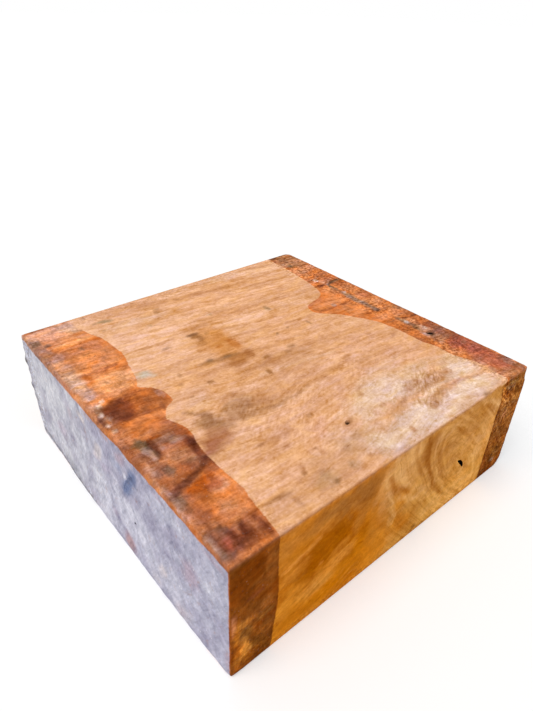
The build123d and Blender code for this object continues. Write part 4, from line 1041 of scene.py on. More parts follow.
def paintWide(side, place, u):
    y = place[:, 1]
    lift = paint["topLift"]
    bare = mixed(place, *grounds["top"]) * lift
    soaked = mixed(place, *grounds["soakedTop"])
    layPatches(bare, u, y, bareTopFields, lift, seeds["topFields"])
    layLines(bare, u, y, bareTopLines, lift, seeds["topLines"])
    if side == "top":
        layPatches(bare, u, y, bareTopSpots, lift, seeds["topSpots"])
    layPatches(soaked, u, y, soakedTop, 1.0, seeds["soakedTop"], paint["soakedSoftness"])
    layLines(soaked, u, y, soakedTopLines, 1.0, seeds["soakedTopLines"])
    return bare, soaked, soaked.copy(), insideBands(topEdgeLeft, topEdgeRight, u, y)


def paintLong(side, place, u):
    x, z = place[:, 0], place[:, 2]
    lift = paint["nearLift"]
    bare = mixed(place, *grounds["near"]) * lift
    knotWood = mixed(place, *grounds["knot"]) * lift
    bare += (knotWood - bare) * ease(u, *paint["knotWoodFrom"])[:, None]
    soaked = mixed(place, *grounds["soakedNear"]) * lift
    layPatches(bare, u, z, bareNear, lift, seeds["near"])
    # the far side has the last three lines only, one of them a painted highlight line from the wane's ridge
    lines = bareNearLines if side == "near" else bareNearLines[-3:]
    layLines(bare, u, z, lines, lift, seeds["nearLines"])
    layPatches(soaked, u, z, soakedNear, lift, seeds["soakedNear"], paint["soakedSoftness"])
    layLines(soaked, u, z, soakedNearLines, lift, seeds["soakedNearLines"])
    fromLeft, fromTop = paint["lowRightFrom"]
    bare *= 1 + paint["lowRight"] * (ease(u, *fromLeft) * ease(z, *fromTop))[:, None]
    bare *= 1 + np.array(paint["lowNear"]) * ease(z, *paint["lowNearFrom"])[:, None]
    # the amber part is faintly hatched, steep to the right
    hatched = flatSpots(*turned(u, z, paint["hatchTurn"]))
    hatched = cloud(hatched, paint["hatchSizes"], seeds["hatch"])
    bare *= 1 + paint["hatch"] * (hatched * ease(u, *paint["hatchFrom"]))[:, None]
    # the rubbed top arris is greyer and catches more light
    fade = smooth(1 - (thickness / mm - z) / paint["arrisFade"])
    fade *= clouded(place, seeds["arris"], *paint["arrisClouds"])
    fade *= 1 - paint["waneFade"] * ease(x, *paint["waneFrom"])
    for colour, tone in [(bare, "arrisGrey"), (soaked, "arrisBrown")]:
        layTone(colour, tone, np.clip(fade, 0, 1))
    if side == "near":
        paintRings(bare, place)
        return bare, soaked, soaked.copy(), insideBands(nearEdgeLeft, nearEdgeRight, x, z)
    return bare, soaked, soaked.copy(), insideBands(farEdgeLeft, farEdgeRight, x, z)


def paintEnd(side, place, u):
    z = place[:, 2]
    lift = paint["endLift"]
    bare = mixed(place, *grounds["end"])
    soaked = bare.copy()
    layPatches(soaked, u, z, soakedEndRim, 1.0, seeds["endRim"], paint["soakedSoftness"])
    waxed = mixed(place, *grounds["wax"]) * lift
    patches, lines = waxedEnd, waxedEndLines
    if side == "right":
        # without the gash's stain
        patches = [patch for patch in waxedEnd if patch[-2] not in ("waxInk", "waxDeep")]
        lines = waxedEndLines[1:]
    layPatches(waxed, u, z, patches, lift, seeds["waxed"])
    layLines(waxed, u, z, lines, lift, seeds["waxedLines"])
    waxed *= 1 + np.array(paint["farWax"]) * ease(u, *paint["farWaxFrom"])[:, None]
    return bare, soaked, waxed, np.full(len(u), paint["soakReach"])


def paintFace(side, place):
    # bare, soaked and waxed colour of one side, and the distance inside the soaked bands
    paintSide = paintWide if side in wideSides else paintEnd if side in waxSides else paintLong
    return paintSide(side, place, alongSide(side, place))


knot = {
    "x": 37.5,
    "z": 21.8,
    "tilt": -49,
    "stretch": 3.0,
    "wobble": 0.5,
    "wobbleSizes": (8, 8, 8),
    "along": 26,
    "turned": 0.6,
    "farLean": 22,
    "farFrom": (-6, -16),
    "gap": 0.9,
    "strong": 0.25,
    "strongFrom": (2, 16),
    "weak": 0.35,
    "ringStep": 3.1,
    "ringWobble": 1.2,
    "ringWobbleSize": 7.0,
    "ringsAt": 13,
    "ringsHalf": 8,
    "ringShare": (9.0, 0.28, 0.2),
    "paleShare": 0.7,
}
# how much of the figure runs in streaks on each side, and how it bows, dips and curls on the wide faces
figure = {
    "streaks": {"top": 0.9, "bottom": 0.9, "near": 1.1, "far": 1.0, "left": 0.6, "right": 0.6},
    "slope": 0.12,
    "warp": 0.9,
    "warpSizes": (16, 9, 9),
    "farWarpSizes": (18, 9, 9),
    "bow": 25,
    "bowAt": (34, -75),
    "bowHalf": (44, 70, 44),
    "dip": 7,
    "dipAt": (-20, -27, 15, 11),
    "curl": (26, -56, 30, 13),
    "curlWarp": 3.2,
    "curlSizes": (7, 6, 6),
    "curlFade": 0.35,
    "farStronger": 0.4,
    "farStrongerFrom": ((14, 30), (-34, 20)),
    "flecked": [(2, -40, 44, 25, 0.5), (34, -52, 12, 4.6, 1.2), (27, -60.4, 8.4, 5, 1.1),
                (-30, -22, 20, 9, 0.7)],
    "fleckClouds": (12.0, 0.8, 0.5),
    "farSlope": (0.98, 0.1),
    "farSwell": 6,
    "farSwellAt": (-20, 30),
    "pith": (-12, -70),
    "endStretch": 10,
}


def grainOf(side, place):
    # along the grain, across it and across the growth rings, in mm, and the strength of the streaks
    x, y, z = place.T
    streaks = np.full(len(x), figure["streaks"][side])
    if side in wideSides:
        atX, atY = figure["bowAt"]
        halfLeft, halfRight, halfY = figure["bowHalf"]
        over = figure["bow"] * hill(x, y, atX, atY, np.where(x < atX, halfLeft, halfRight), halfY)
        kink = figure["dip"] * hill(x, y, *figure["dipAt"])
        curly = hill(x, y, *figure["curl"])
        across = y + figure["slope"] * x - over + kink
        across += figure["warp"] * cloud(place, figure["warpSizes"], seeds["figure"])
        across += figure["curlWarp"] * curly * cloud(place, figure["curlSizes"], seeds["curl"])
        fromNear, fromLeft = figure["farStrongerFrom"]
        streaks *= 1 + figure["farStronger"] * ease(y, *fromNear) * ease(x, *fromLeft)
        return np.stack([x, across, across], axis=1), streaks * (1 - figure["curlFade"] * curly)
    if side == "far":
        shareZ, shareX = figure["farSlope"]
        atX, halfX = figure["farSwellAt"]
        across = shareZ * z - shareX * x + figure["farSwell"] * np.exp(-((x - atX) / halfX) ** 2)
        across += figure["warp"] * cloud(place, figure["farWarpSizes"], seeds["farFigure"])
        return np.stack([x, across, across], axis=1), streaks
    if side == "near":
        longWay, shortWay = turned(x - knot["x"], z - knot["z"], knot["tilt"])
        longWay /= knot["stretch"]
        rings = np.hypot(shortWay, longWay)
        rings += knot["wobble"] * cloud(place, knot["wobbleSizes"], seeds["knot"])
        angle = np.arctan2(shortWay, longWay) - knot["turned"]
        rising = turned(x, z, knot["farLean"])[1]
        share = ease(x, *knot["farFrom"])
        # where the rings give way to the rising lines the figure has no streaks
        streaks = streaks * (1 - knot["gap"] * smooth(4 * share * (1 - share)))
        streaks = streaks * (1 + knot["strong"] * ease(x, *knot["strongFrom"]) - knot["weak"] * share)
        along = knot["along"] * np.cos(angle) * (1 - share) + x * share
        across = rings * (1 - share) + rising * share
        return np.stack([along, across, across], axis=1), streaks
    pithY, pithZ = figure["pith"]
    return np.stack([y * figure["endStretch"], z, np.hypot(y - pithY, z - pithZ)], axis=1), streaks


def flecksOn(side, place):
    # where short slanting flecks lie across the figure of the wide faces
    flecks = np.zeros(len(place))
    if side not in wideSides:
        return flecks
    for atX, atY, halfX, halfY, strength in figure["flecked"]:
        reach = ((place[:, 0] - atX) / halfX) ** 2 + ((place[:, 1] - atY) / halfY) ** 2
        flecks = np.maximum(flecks, strength * np.exp(-reach ** 2))
    return flecks * clouded(place, seeds["flecks"], *figure["fleckClouds"])


def paintRings(colour, place):
    # soft rings round the knot on the near side
    grain, streaks = grainOf("near", place)
    rings = grain[:, 2]
    spots = place * (1, 0, 1)
    wave = rings + knot["ringWobble"] * cloud(spots, knot["ringWobbleSize"], seeds["rings"])
    wave = np.sin(wave * 2 * math.pi / knot["ringStep"])
    share = np.exp(-((rings - knot["ringsAt"]) / knot["ringsHalf"]) ** 2)
    share = np.clip(share * clouded(spots, seeds["ringShare"], *knot["ringShare"]), 0, 1)
    share = share * streaks / figure["streaks"]["near"]
    layTone(colour, "ringBrown", np.clip(wave, 0, 1) * share, paint["nearLift"])
    layTone(colour, "honey", np.clip(-wave, 0, 1) * share * knot["paleShare"], paint["nearLift"])


# where the surface is gritty with dirt: side, middle, half sizes, strength
grimyPlaces = [
    ("top", 69, 0, 12, 80, 0.85), ("top", 68, 46, 10, 28, 1.25), ("top", -66, 2, 12, 80, 0.3),
    ("top", -73, 20, 4, 60, 0.4), ("top", -20, 70, 60, 5, 0.3), ("top", 38, -56, 22, 10, 0.2),
    ("near", 67, 20, 10, 40, 1.25), ("near", 66, 48, 12, 6, 0.3), ("near", -66, 12, 9, 14, 0.45),
    ("near", 20, 1, 90, 3, 0.4), ("far", 0, 20, 90, 60, 0.35), ("left", 70, 24, 6, 34, 0.6),
    ("left", 46, 0, 30, 3.4, 0.7), ("left", 0, 20, 90, 60, 0.12), ("right", 0, 20, 90, 60, 0.4),
    ("bottom", 0, 0, 90, 90, 0.3),
]


def grimeOn(side, place):
    u = place[:, 1] if side in waxSides else place[:, 0]
    v = place[:, 1] if side in wideSides else place[:, 2]
    grime = np.zeros(len(place))
    for face, atU, atV, halfU, halfV, strength in grimyPlaces:
        if face == side:
            reach = np.maximum(np.abs(u - atU) / halfU, np.abs(v - atV) / halfV)
            grime = np.maximum(grime, strength * ease(reach, *paint["grimeFrom"]))
    return np.clip(grime * clouded(place, seeds["grime"], *paint["grimeClouds"]), 0, paint["grimeMost"])


def waxOn(side, place):
    # distance inside the wax, in mm: it stops just short of the top arris and of the near one
    u = alongSide(side, place)
    wave = paint["waxWave"] * cloud(place, paint["waxWaveSize"], seeds["waxWave"])
    fromNear, fromFar = paint["waxDropFrom"]
    rim = paint["waxTop"] - paint["waxDrop"] * ease(u, *fromNear) * ease(u, *fromFar)
    fromArris = u + halfWidth / mm - paint["waxEdge"] + paint["waxEdgeWave"] * wave
    return np.clip(np.minimum(rim + wave - place[:, 2], fromArris), -paint["waxReach"], paint["waxReach"])


def storeColour(piece, name, values):
    attribute = piece.data.color_attributes.new(name, "FLOAT_COLOR", "POINT")
    attribute.data.foreach_set("color", np.column_stack([values, np.ones(len(values))]).ravel())


def storeNumbers(piece, name, values):
    kind, field = ("FLOAT", "value") if values.ndim == 1 else ("FLOAT_VECTOR", "vector")
    attribute = piece.data.attributes.new(name, kind, "POINT")
    attribute.data.foreach_set(field, np.ascontiguousarray(values).ravel())


def paintBlank(piece):
    places = pointsOf(piece)
    nearest = faceDepths(places).argmin(axis=1)
    place = places / mm
    count = len(places)
    bare, soaked, waxed, grain = np.zeros((4, count, 3))
    soak, streaks, grime, flecks = np.zeros((4, count))
    wax = np.full(count, -paint["waxReach"])
    for index, side in enumerate(sides):
        chosen = nearest == index
        spots = place[chosen]
        bare[chosen], soaked[chosen], waxed[chosen], soak[chosen] = paintFace(side, spots)
        grain[chosen], streaks[chosen] = grainOf(side, spots)
        grime[chosen], flecks[chosen] = grimeOn(side, spots), flecksOn(side, spots)
        if side in waxSides:
            wax[chosen] = waxOn(side, spots)
    # the tones of the gash and the chip, and the painted shade inside the other marks
    sunk = tintMarks(place, (bare, soaked, waxed))
    crust = np.clip(crustOn(place) * paint["crustShade"], 0, paint["crustShadeMost"])
    for name, colour in [("bareWood", bare), ("soakedWood", soaked), ("waxedEnd", waxed)]:
        layTone(colour, "crust", crust)
        storeColour(piece, name, colour)
    soak = np.clip(soak, -paint["soakReach"], paint["soakReach"])
    grime = np.maximum(grime, crust)
    for name, values in [("soakDepth", soak), ("waxDepth", wax), ("sunkShade", sunk), ("streaks", streaks),
                         ("grime", grime), ("flecks", flecks), ("grain", grain)]:
        storeNumbers(piece, name, values)
    print("painted", count, "points")


def tintMarks(place, colours):
    # the gash and the chip take a tone of their own, the other marks get painted shade that darkens as they
    # get deeper
    sunk = np.zeros(len(place))
    depths = faceDepths(place * mm)
    for mark in marks.values():
        own = (place - np.array(mark["at"])) @ np.array(markTurn(mark["normal"], mark["turn"]))
        along, across, into = own[:, 0], own[:, 1], np.abs(own[:, 2])
        halfAlong, halfAcross, halfInto = mark["half"]
        reach = np.hypot(along / halfAlong, across / (halfAcross + mark.get("bow", 0)))
        if "tone" in mark:
            mask = paint["stain"] * ease(reach, *paint["stainFrom"]) * (into < paint["stainDepth"])
            for colour in colours:
                layTone(colour, mark["tone"], mask)
        else:
            inside = (reach < paint["markReach"]) & (into < halfInto + paint["markBeyond"])
            start, end = mark["dark"]
            dark = (depths[:, sides.index(markedSides[mark["normal"]])] - start) / (end - start)
            sunk = np.where(inside, np.maximum(sunk, dark), sunk)
    return sunk


# the wood's material

# the noises of the node groups: sizes in mm, detail, roughness, warp, turn in degrees
noises = {
    "broad": ((50, 6, 1), 3, 0.5, 0.3),
    "streak": ((16, 1.9, 1), 4, 0.6, 0.3),
    "fibre": ((5, 0.7, 1), 3, 0.6, 0.0),
    "pore": ((3.0, 0.55, 1), 1, 0.5, 0.0),
    "fleck": ((3.6, 1.1, 2), 1, 0.5, 0.0, (0, 0, -38)),
    "mottle": ((5, 3.4, 3.4), 5, 0.66, 0.5),
    "grainWarmth": ((9, 4, 4), 5, 0.66, 0.6),
    "brushed": ((1.6, 4.0, 4.0), 5, 0.66, 0.5),
    "blotted": ((6, 5, 5), 4, 0.6, 0.5),
    "stainWarmth": ((6, 5, 5), 2, 0.5, 0.4),
    "stainGrit": ((0.9, 1.2, 1.2), 2, 0.6, 0.0),
    "dust": ((1.5, 1.3, 1.3), 4, 0.75, 0.0),
    "dirt": ((1.1, 0.9, 0.9), 2, 0.6, 0.0),
    "lumps": ((5, 4.2, 5.4), 5, 0.6, 0.7),
    "waxFine": ((1, 0.9, 0.9), 3, 0.6, 0.0),
    "stroke": ((4, 0.8, 5), 4, 0.6, 0.4, (-32, 0, 0)),
    "rust": ((4, 3.2, 3.2), 4, 0.6, 0.8),
    "chip": ((1, 1.1, 1.3), 1, 0.5, 0.0),
}
# how strongly each counts in its tone
swings = {
    "broad": 0.85, "streak": 1.15, "fibre": 0.55, "fleck": 2.0, "mottle": 1.15, "grainWarmth": 2.5,
    "brushed": 1.15, "blotted": 1.2, "stainWarmth": 2.1, "dust": 3.8, "lumps": 1.5, "waxFine": 0.25,
    "stroke": 0.75,
}
# what a colour is multiplied by where its tone is low and where it is high
shades = {
    "grain": ((0.72, 0.56, 0.31), (1.28, 1.40, 1.62)),
    "grainWarmth": ((0.97, 1.0, 1.2), (1.03, 1.0, 0.8)),
    "stain": ((0.45, 0.35, 0.24), (1.55, 1.65, 1.76)),
    "stainWarmth": ((0.9, 1.02, 1.26), (1.1, 0.98, 0.74)),
    "grime": ((0.45, 0.29, 0.12), (1.55, 1.71, 1.92)),
    "wax": ((0.55, 0.56, 0.62), (1.45, 1.44, 1.38)),
}
# small marks: between which values of their noise they set in, how strongly they show and their colour
specks = {
    "pore": {"between": (0.66, 0.76), "share": 0.28},
    "dark": {"between": (0.66, 0.74), "share": 0.6, "colour": (0.10, 0.06, 0.05)},
    "crumb": {"between": (0.33, 0.26), "colour": (0.70, 0.56, 0.50)},
    "darkDirt": {"between": (0.60, 0.70), "share": 0.6, "colour": (0.09, 0.06, 0.045)},
    "paleDirt": {"between": (0.38, 0.30), "share": 0.3, "colour": (0.58, 0.42, 0.32)},
    "rust": {"between": (0.60, 0.74, 0.0, 0.45), "colour": (0.40, 0.22, 0.16)},
    "chip": {"between": (0.74, 0.78), "share": 0.7, "colour": (0.86, 0.84, 0.86)},
}
# the fine grit of the grain, and how much of each noise goes into the bumps
gritLook = {"scale": 0.9, "detail": 4, "rough": 0.7, "swing": 1.0}
heights = {"fibre": 0.6, "streak": 0.4, "chip": 0.3}
socketKinds = {"Colour": "NodeSocketColor", "Grain": "NodeSocketVector", "Place": "NodeSocketVector"}


def addNode(tree, kind, sockets=None, **settings):
    made = tree.nodes.new(kind)
    for name, value in settings.items():
        setattr(made, name, value)
    for name, value in (sockets or {}).items():
        if isinstance(value, bpy.types.NodeSocket):
            tree.links.new(value, made.inputs[name])
        else:
            made.inputs[name].default_value = value
    return made


def maths(tree, operation, first, second=0.0, clamp=False):
    made = addNode(tree, "ShaderNodeMath", {0: first, 1: second}, operation=operation, use_clamp=clamp)
    return made.outputs[0]


def times(tree, first, second):
    return maths(tree, "MULTIPLY", first, second)


def total(tree, first, *others):
    for other in others:
        first = maths(tree, "ADD", first, other)
    return first


def blend(tree, mode, factor, first, second):
    made = addNode(tree, "ShaderNodeMix", {0: factor, 6: first, 7: second}, data_type="RGBA", blend_type=mode)
    return made.outputs[2]


def ramp(tree, value, start, end, low=0.0, high=1.0):
    sockets = {"Value": value, "From Min": start, "From Max": end, "To Min": low, "To Max": high}
    return addNode(tree, "ShaderNodeMapRange", sockets, interpolation_type="SMOOTHSTEP").outputs[0]


def clouds(tree, place, scale, detail, rough, warp=0.0):
    sockets = {"Vector": place, "Scale": scale, "Detail": detail, "Roughness": rough, "Distortion": warp}
    return addNode(tree, "ShaderNodeTexNoise", sockets).outputs["Fac"]


def noiseOf(tree, place, name):
    # place divided by a size for each axis, so that a noise of scale 1 has marks of those sizes
    sizes, detail, rough, warp, *turns = noises[name]
    for turn in turns:
        turn = tuple(math.radians(angle) for angle in turn)
        place = addNode(tree, "ShaderNodeMapping", {"Vector": place, "Rotation": turn}).outputs[0]
    scale = tuple(1 / size for size in sizes)
    place = addNode(tree, "ShaderNodeMapping", {"Vector": place, "Scale": scale}).outputs[0]
    return clouds(tree, place, 1, detail, rough, warp)


def swing(tree, value, strength):
    # how far a noise is from its middle, times a strength
    return times(tree, maths(tree, "SUBTRACT", value, 0.5), strength)


def swingOf(tree, place, name):
    return swing(tree, noiseOf(tree, place, name), swings[name])


def toned(tree, colour, tone, name):
    # the tone is about zero, and becomes a share between the two shades
    share = maths(tree, "ADD", tone, 0.5, clamp=True)
    dark, pale = [shade + (1,) for shade in shades[name]]
    return blend(tree, "MULTIPLY", 1.0, colour, blend(tree, "MIX", share, dark, pale))


def warmed(tree, colour, place, name):
    return toned(tree, colour, swingOf(tree, place, name), name)


def specksOf(tree, value, name):
    return ramp(tree, value, *specks[name]["between"])


def shareOf(tree, value, name):
    return times(tree, value, specks[name]["share"])


def speckled(tree, colour, share, name):
    return blend(tree, "MIX", share, colour, specks[name]["colour"] + (1,))


def newGroup(name, inputs, outputs):
    group = bpy.data.node_groups.new(name, "ShaderNodeTree")
    for direction, labels in [("INPUT", inputs), ("OUTPUT", outputs)]:
        for label in labels:
            kind = socketKinds.get(label, "NodeSocketFloat")
            group.interface.new_socket(label, in_out=direction, socket_type=kind)
    return group, addNode(group, "NodeGroupInput").outputs, addNode(group, "NodeGroupOutput").inputs


def useGroup(tree, group, **sockets):
    return addNode(tree, "ShaderNodeGroup", sockets, node_tree=group).outputs


def makeGrainGroup():
    # growth streaks, fine fibres and pores in the grain's own coordinates, over a soft mottle
    inputs = ("Colour", "Grain", "Place", "Strength", "Streaks", "Flecks")
    group, given, made = newGroup("grainFigure", inputs, ("Colour", "Height"))
    place = given["Place"]
    split = addNode(group, "ShaderNodeSeparateXYZ", {0: given["Grain"]}).outputs
    ringPlace = addNode(group, "ShaderNodeCombineXYZ", {0: split[0], 1: split[2]}).outputs[0]
    fibrePlace = addNode(group, "ShaderNodeCombineXYZ", {0: split[0], 1: split[1]}).outputs[0]
    streak = noiseOf(group, ringPlace, "streak")
    fibre = noiseOf(group, fibrePlace, "fibre")
    pore = specksOf(group, noiseOf(group, fibrePlace, "pore"), "pore")
    tone = total(group, swingOf(group, ringPlace, "broad"), swing(group, streak, swings["streak"]),
                 swing(group, fibre, swings["fibre"]))
    tone = maths(group, "SUBTRACT", tone, shareOf(group, pore, "pore"))
    tone = times(group, tone, given["Streaks"])
    fleck = times(group, swingOf(group, place, "fleck"), given["Flecks"])
    grit = clouds(group, place, gritLook["scale"], gritLook["detail"], gritLook["rough"])
    tone = total(group, tone, fleck, swingOf(group, place, "mottle"),
                 swing(group, grit, gritLook["swing"]))
    colour = toned(group, given["Colour"], times(group, tone, given["Strength"]), "grain")
    group.links.new(warmed(group, colour, place, "grainWarmth"), made["Colour"])
    height = total(group, times(group, fibre, heights["fibre"]), times(group, streak, heights["streak"]))
    group.links.new(maths(group, "SUBTRACT", height, pore), made["Height"])
    return group


def makeStainGroup():
    # brushed and blotted stain, with small dark specks and as many pale crumbs as given
    inputs = ("Colour", "Place", "Strength", "Crumbs")
    group, given, made = newGroup("stainMottle", inputs, ("Colour", "Height"))
    place = given["Place"]
    brushed = noiseOf(group, place, "brushed")
    tone = total(group, swing(group, brushed, swings["brushed"]), swingOf(group, place, "blotted"))
    colour = toned(group, given["Colour"], times(group, tone, given["Strength"]), "stain")
    colour = warmed(group, colour, place, "stainWarmth")
    grit = noiseOf(group, place, "stainGrit")
    dark = times(group, specksOf(group, grit, "dark"), given["Strength"])
    colour = speckled(group, colour, shareOf(group, dark, "dark"), "dark")
    crumb = times(group, specksOf(group, grit, "crumb"), given["Crumbs"])
    group.links.new(speckled(group, colour, crumb, "crumb"), made["Colour"])
    group.links.new(total(group, brushed, crumb), made["Height"])
    return group


def makeGrimeGroup():
    # fine dark and pale dirt, as dense as the amount given
    group, given, made = newGroup("grimeGrit", ("Colour", "Place", "Amount"), ("Colour",))
    place = given["Place"]
    tone = times(group, swingOf(group, place, "dust"), given["Amount"])
    colour = toned(group, given["Colour"], tone, "grime")
    dirt = noiseOf(group, place, "dirt")
    for name in ("darkDirt", "paleDirt"):
        amount = shareOf(group, given["Amount"], name)
        share = times(group, specksOf(group, dirt, name), amount)
        colour = speckled(group, colour, share, name)
    group.links.new(colour, made["Colour"])
    return group


def makeWaxGroup():
    # cloudy brushed wax with bare threads, dirt in its hollows and small white chips
    group, given, made = newGroup("waxSkin", ("Colour", "Place"), ("Colour", "Height"))
    place = given["Place"]
    lumps = noiseOf(group, place, "lumps")
    tone = total(group, swing(group, lumps, swings["lumps"]), swingOf(group, place, "waxFine"),
                 swingOf(group, place, "stroke"))
    colour = toned(group, given["Colour"], tone, "wax")
    rust = specksOf(group, noiseOf(group, place, "rust"), "rust")
    colour = speckled(group, colour, rust, "rust")
    chip = specksOf(group, noiseOf(group, place, "chip"), "chip")
    colour = speckled(group, colour, shareOf(group, chip, "chip"), "chip")
    group.links.new(colour, made["Colour"])
    group.links.new(total(group, lumps, times(group, chip, heights["chip"])), made["Height"])
    return group


finish = {
    "bareRough": 0.66,
    "soakedRough": 0.44,
    "waxRough": 0.40,
    "roughSwing": 0.25,
    "specular": 0.0,
    "coatRough": 0.35,
    "soakedCoat": 0.0,
    "waxCoat": 0.08,
    "grainStrength": 1.0,
    "soakedGrain": 0.85,
    "soakedStreaks": 1.6,
    "stainStrength": 0.78,
    "crumbs": 0.15,
    "bumpDepth": 0.00006,
    "soakRagged": (0.5, 4, 0.6),
    "soakEdge": 0.3,
    "waxFlaked": (0.9, 3, 0.6),
    "waxFlakes": 1.4,
    "waxEdge": 0.5,
}


def woodMaterial():
    material = bpy.data.materials.new("soakedHardwood")
    material.use_nodes = True
    tree = material.node_tree
    skin = tree.nodes["Principled BSDF"]
    grainFigure, stainMottle = makeGrainGroup(), makeStainGroup()
    grimeGrit, waxSkin = makeGrimeGroup(), makeWaxGroup()

    spot = addNode(tree, "ShaderNodeTexCoord").outputs["Object"]
    spot = addNode(tree, "ShaderNodeVectorMath", {0: spot, 3: 1 / mm}, operation="SCALE").outputs[0]

    def stored(name, output="Fac"):
        return addNode(tree, "ShaderNodeAttribute", attribute_name=name).outputs[output]

    def edgeOf(distance, reach):
        return ramp(tree, distance, -reach, reach)

    grain = stored("grain", "Vector")
    ragged = clouds(tree, spot, *finish["soakRagged"])
    soak = total(tree, stored("soakDepth"), maths(tree, "SUBTRACT", ragged, 0.5))
    soak = edgeOf(soak, finish["soakEdge"])
    flaked = swing(tree, clouds(tree, spot, *finish["waxFlaked"]), finish["waxFlakes"])
    wax = edgeOf(total(tree, stored("waxDepth"), flaked), finish["waxEdge"])

    streaks, flecks = stored("streaks"), stored("flecks")
    bare = useGroup(tree, grainFigure, Colour=stored("bareWood", "Color"), Grain=grain, Place=spot,
                    Strength=finish["grainStrength"], Streaks=streaks, Flecks=flecks)
    soaked = useGroup(tree, grainFigure, Colour=stored("soakedWood", "Color"), Grain=grain, Place=spot,
                      Strength=finish["soakedGrain"], Streaks=times(tree, streaks, finish["soakedStreaks"]),
                      Flecks=flecks)
    stained = useGroup(tree, stainMottle, Colour=soaked["Colour"], Place=spot,
                       Strength=finish["stainStrength"], Crumbs=finish["crumbs"])
    waxed = useGroup(tree, waxSkin, Colour=stored("waxedEnd", "Color"), Place=spot)

    colour = blend(tree, "MIX", soak, bare["Colour"], stained["Colour"])
    colour = blend(tree, "MIX", wax, colour, waxed["Colour"])
    colour = useGroup(tree, grimeGrit, Colour=colour, Place=spot, Amount=stored("grime"))["Colour"]
    # painted shade: the deeper parts of the check, the worm hole, the void and the pit go near black
    sunk = ramp(tree, stored("sunkShade"), 0.0, 1.0)
    colour = blend(tree, "MIX", sunk, colour, tuple(linear("holeShade")) + (1,))
    tree.links.new(colour, skin.inputs["Base Color"])

    rough = total(tree, times(tree, soak, finish["soakedRough"] - finish["bareRough"]), finish["bareRough"],
                  times(tree, wax, finish["waxRough"] - finish["soakedRough"]),
                  swing(tree, ragged, finish["roughSwing"]))
    tree.links.new(rough, skin.inputs["Roughness"])
    coat = total(tree, times(tree, soak, finish["soakedCoat"]),
                 times(tree, wax, finish["waxCoat"] - finish["soakedCoat"]))
    tree.links.new(coat, skin.inputs["Coat Weight"])
    skin.inputs["Coat Roughness"].default_value = finish["coatRough"]
    skin.inputs["Specular IOR Level"].default_value = finish["specular"]

    height = total(tree, bare["Height"], times(tree, soak, stained["Height"]))
    height = addNode(tree, "ShaderNodeMix", {0: wax, 2: height, 3: waxed["Height"]}).outputs[0]
    sockets = {"Distance": finish["bumpDepth"], "Height": height, "Strength": 1.0}
    bump = addNode(tree, "ShaderNodeBump", sockets)
    tree.links.new(bump.outputs[0], skin.inputs["Normal"])
    return material


blank = makeBlock()
addRelief(blank)
cutMarks(blank)
paintBlank(blank)
blank.data.materials.append(woodMaterial())
selectOnly(blank)
bpy.ops.object.shade_smooth_by_angle(angle=math.radians(block["smoothAngle"]))
blank.data.calc_loop_triangles()
print("triangles", len(blank.data.loop_triangles))

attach(blank, "root")
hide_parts(nodeName)


# the set: floor, world, lamps, camera

stage = {
    "floorSize": 12.0,
    "floorColour": 0.8,
    "floorGlow": 0.22,
    "skyLight": 0.43,
    "skySeen": 1.0,
    "sunLight": 2.12,
    "sunAngle": 50,
    "sunFrom": (-0.48, -0.14, 0.86),
}
camera = {
    "place": (-0.12665, -0.14410, 0.17279),
    "forward": (0.55119, 0.63532, -0.54089),
    "up": (0.32959, 0.42974, 0.84065),
    "focalPixels": 554.3,
    "frameWide": 533,
    "frameHigh": 711,
    "sensor": 36.0,
    "nearest": 0.01,
}


def backgroundRays(tree):
    # 1 for what the camera sees straight, in a reflection or through glass
    path = addNode(tree, "ShaderNodeLightPath").outputs
    seen = maths(tree, "MAXIMUM", path["Is Camera Ray"], path["Is Glossy Ray"])
    return maths(tree, "MAXIMUM", seen, path["Is Transmission Ray"])


def whiteToCamera(tree, shaded, glow):
    # the floor gets a little light of its own where it is seen, and gives none to the object
    strength = maths(tree, "MULTIPLY", backgroundRays(tree), glow)
    light = addNode(tree, "ShaderNodeEmission", {"Strength": strength}).outputs[0]
    return addNode(tree, "ShaderNodeAddShader", {0: shaded, 1: light}).outputs[0]


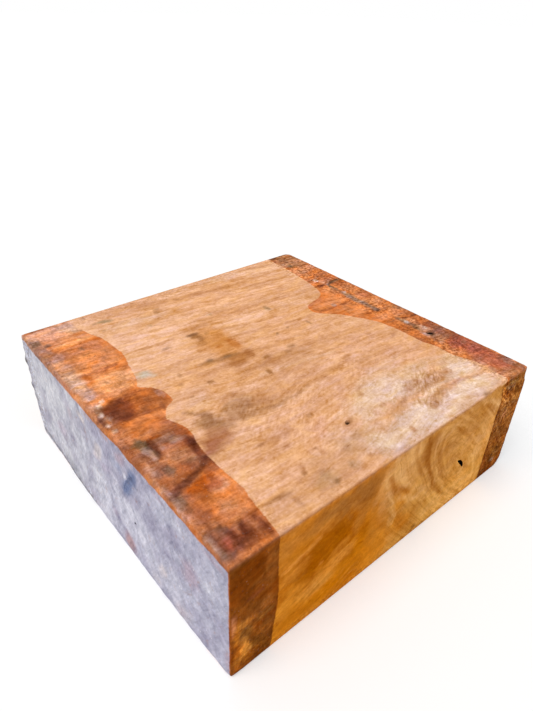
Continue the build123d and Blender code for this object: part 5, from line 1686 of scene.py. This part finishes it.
def makeFloor():
    bpy.ops.object.select_all(action="DESELECT")
    bpy.ops.mesh.primitive_plane_add(size=stage["floorSize"], location=(0, 0, low.z))
    floor = bpy.context.object
    floor.name = "floor"
    material = bpy.data.materials.new("paleFloor")
    material.use_nodes = True
    tree = material.node_tree
    tree.nodes.clear()
    matt = addNode(tree, "ShaderNodeBsdfDiffuse", {"Color": (stage["floorColour"],) * 3 + (1,)}).outputs[0]
    addNode(tree, "ShaderNodeOutputMaterial", {"Surface": whiteToCamera(tree, matt, stage["floorGlow"])})
    floor.data.materials.append(material)


def makeWorld():
    world = bpy.data.worlds.new("studio")
    bpy.context.scene.world = world
    world.use_nodes = True
    tree = world.node_tree
    background = tree.nodes["Background"]
    background.inputs["Color"].default_value = (1, 1, 1, 1)
    sockets = {"Value": backgroundRays(tree), "To Min": stage["skyLight"], "To Max": stage["skySeen"]}
    pick = addNode(tree, "ShaderNodeMapRange", sockets)
    tree.links.new(pick.outputs["Result"], background.inputs["Strength"])


def makeSun():
    # wide and soft, from above and a little to the left
    light = bpy.data.lights.new("softSun", "SUN")
    light.energy = stage["sunLight"]
    light.angle = math.radians(stage["sunAngle"])
    lamp = bpy.data.objects.new("softSun", light)
    bpy.context.scene.collection.objects.link(lamp)
    lamp.location = stage["sunFrom"]
    lamp.rotation_mode = "QUATERNION"
    lamp.rotation_quaternion = Vector(stage["sunFrom"]).to_track_quat("Z", "Y")


def makeCamera():
    lens = bpy.data.cameras.new("photoCamera")
    lens.sensor_width = camera["sensor"]
    lens.lens = camera["focalPixels"] / max(camera["frameWide"], camera["frameHigh"]) * camera["sensor"]
    lens.clip_start = camera["nearest"]
    view = bpy.data.objects.new("photoCamera", lens)
    bpy.context.scene.collection.objects.link(view)
    back = -Vector(camera["forward"]).normalized()
    right = Vector(camera["up"]).cross(back).normalized()
    up = back.cross(right)
    turn = Matrix((right, up, back)).transposed()
    view.matrix_world = Matrix.LocRotScale(Vector(camera["place"]), turn, None)
    bpy.context.scene.camera = view


makeFloor()
makeWorld()
makeSun()
makeCamera()
bpy.context.scene.view_settings.view_transform = "Standard"
print("set ready")
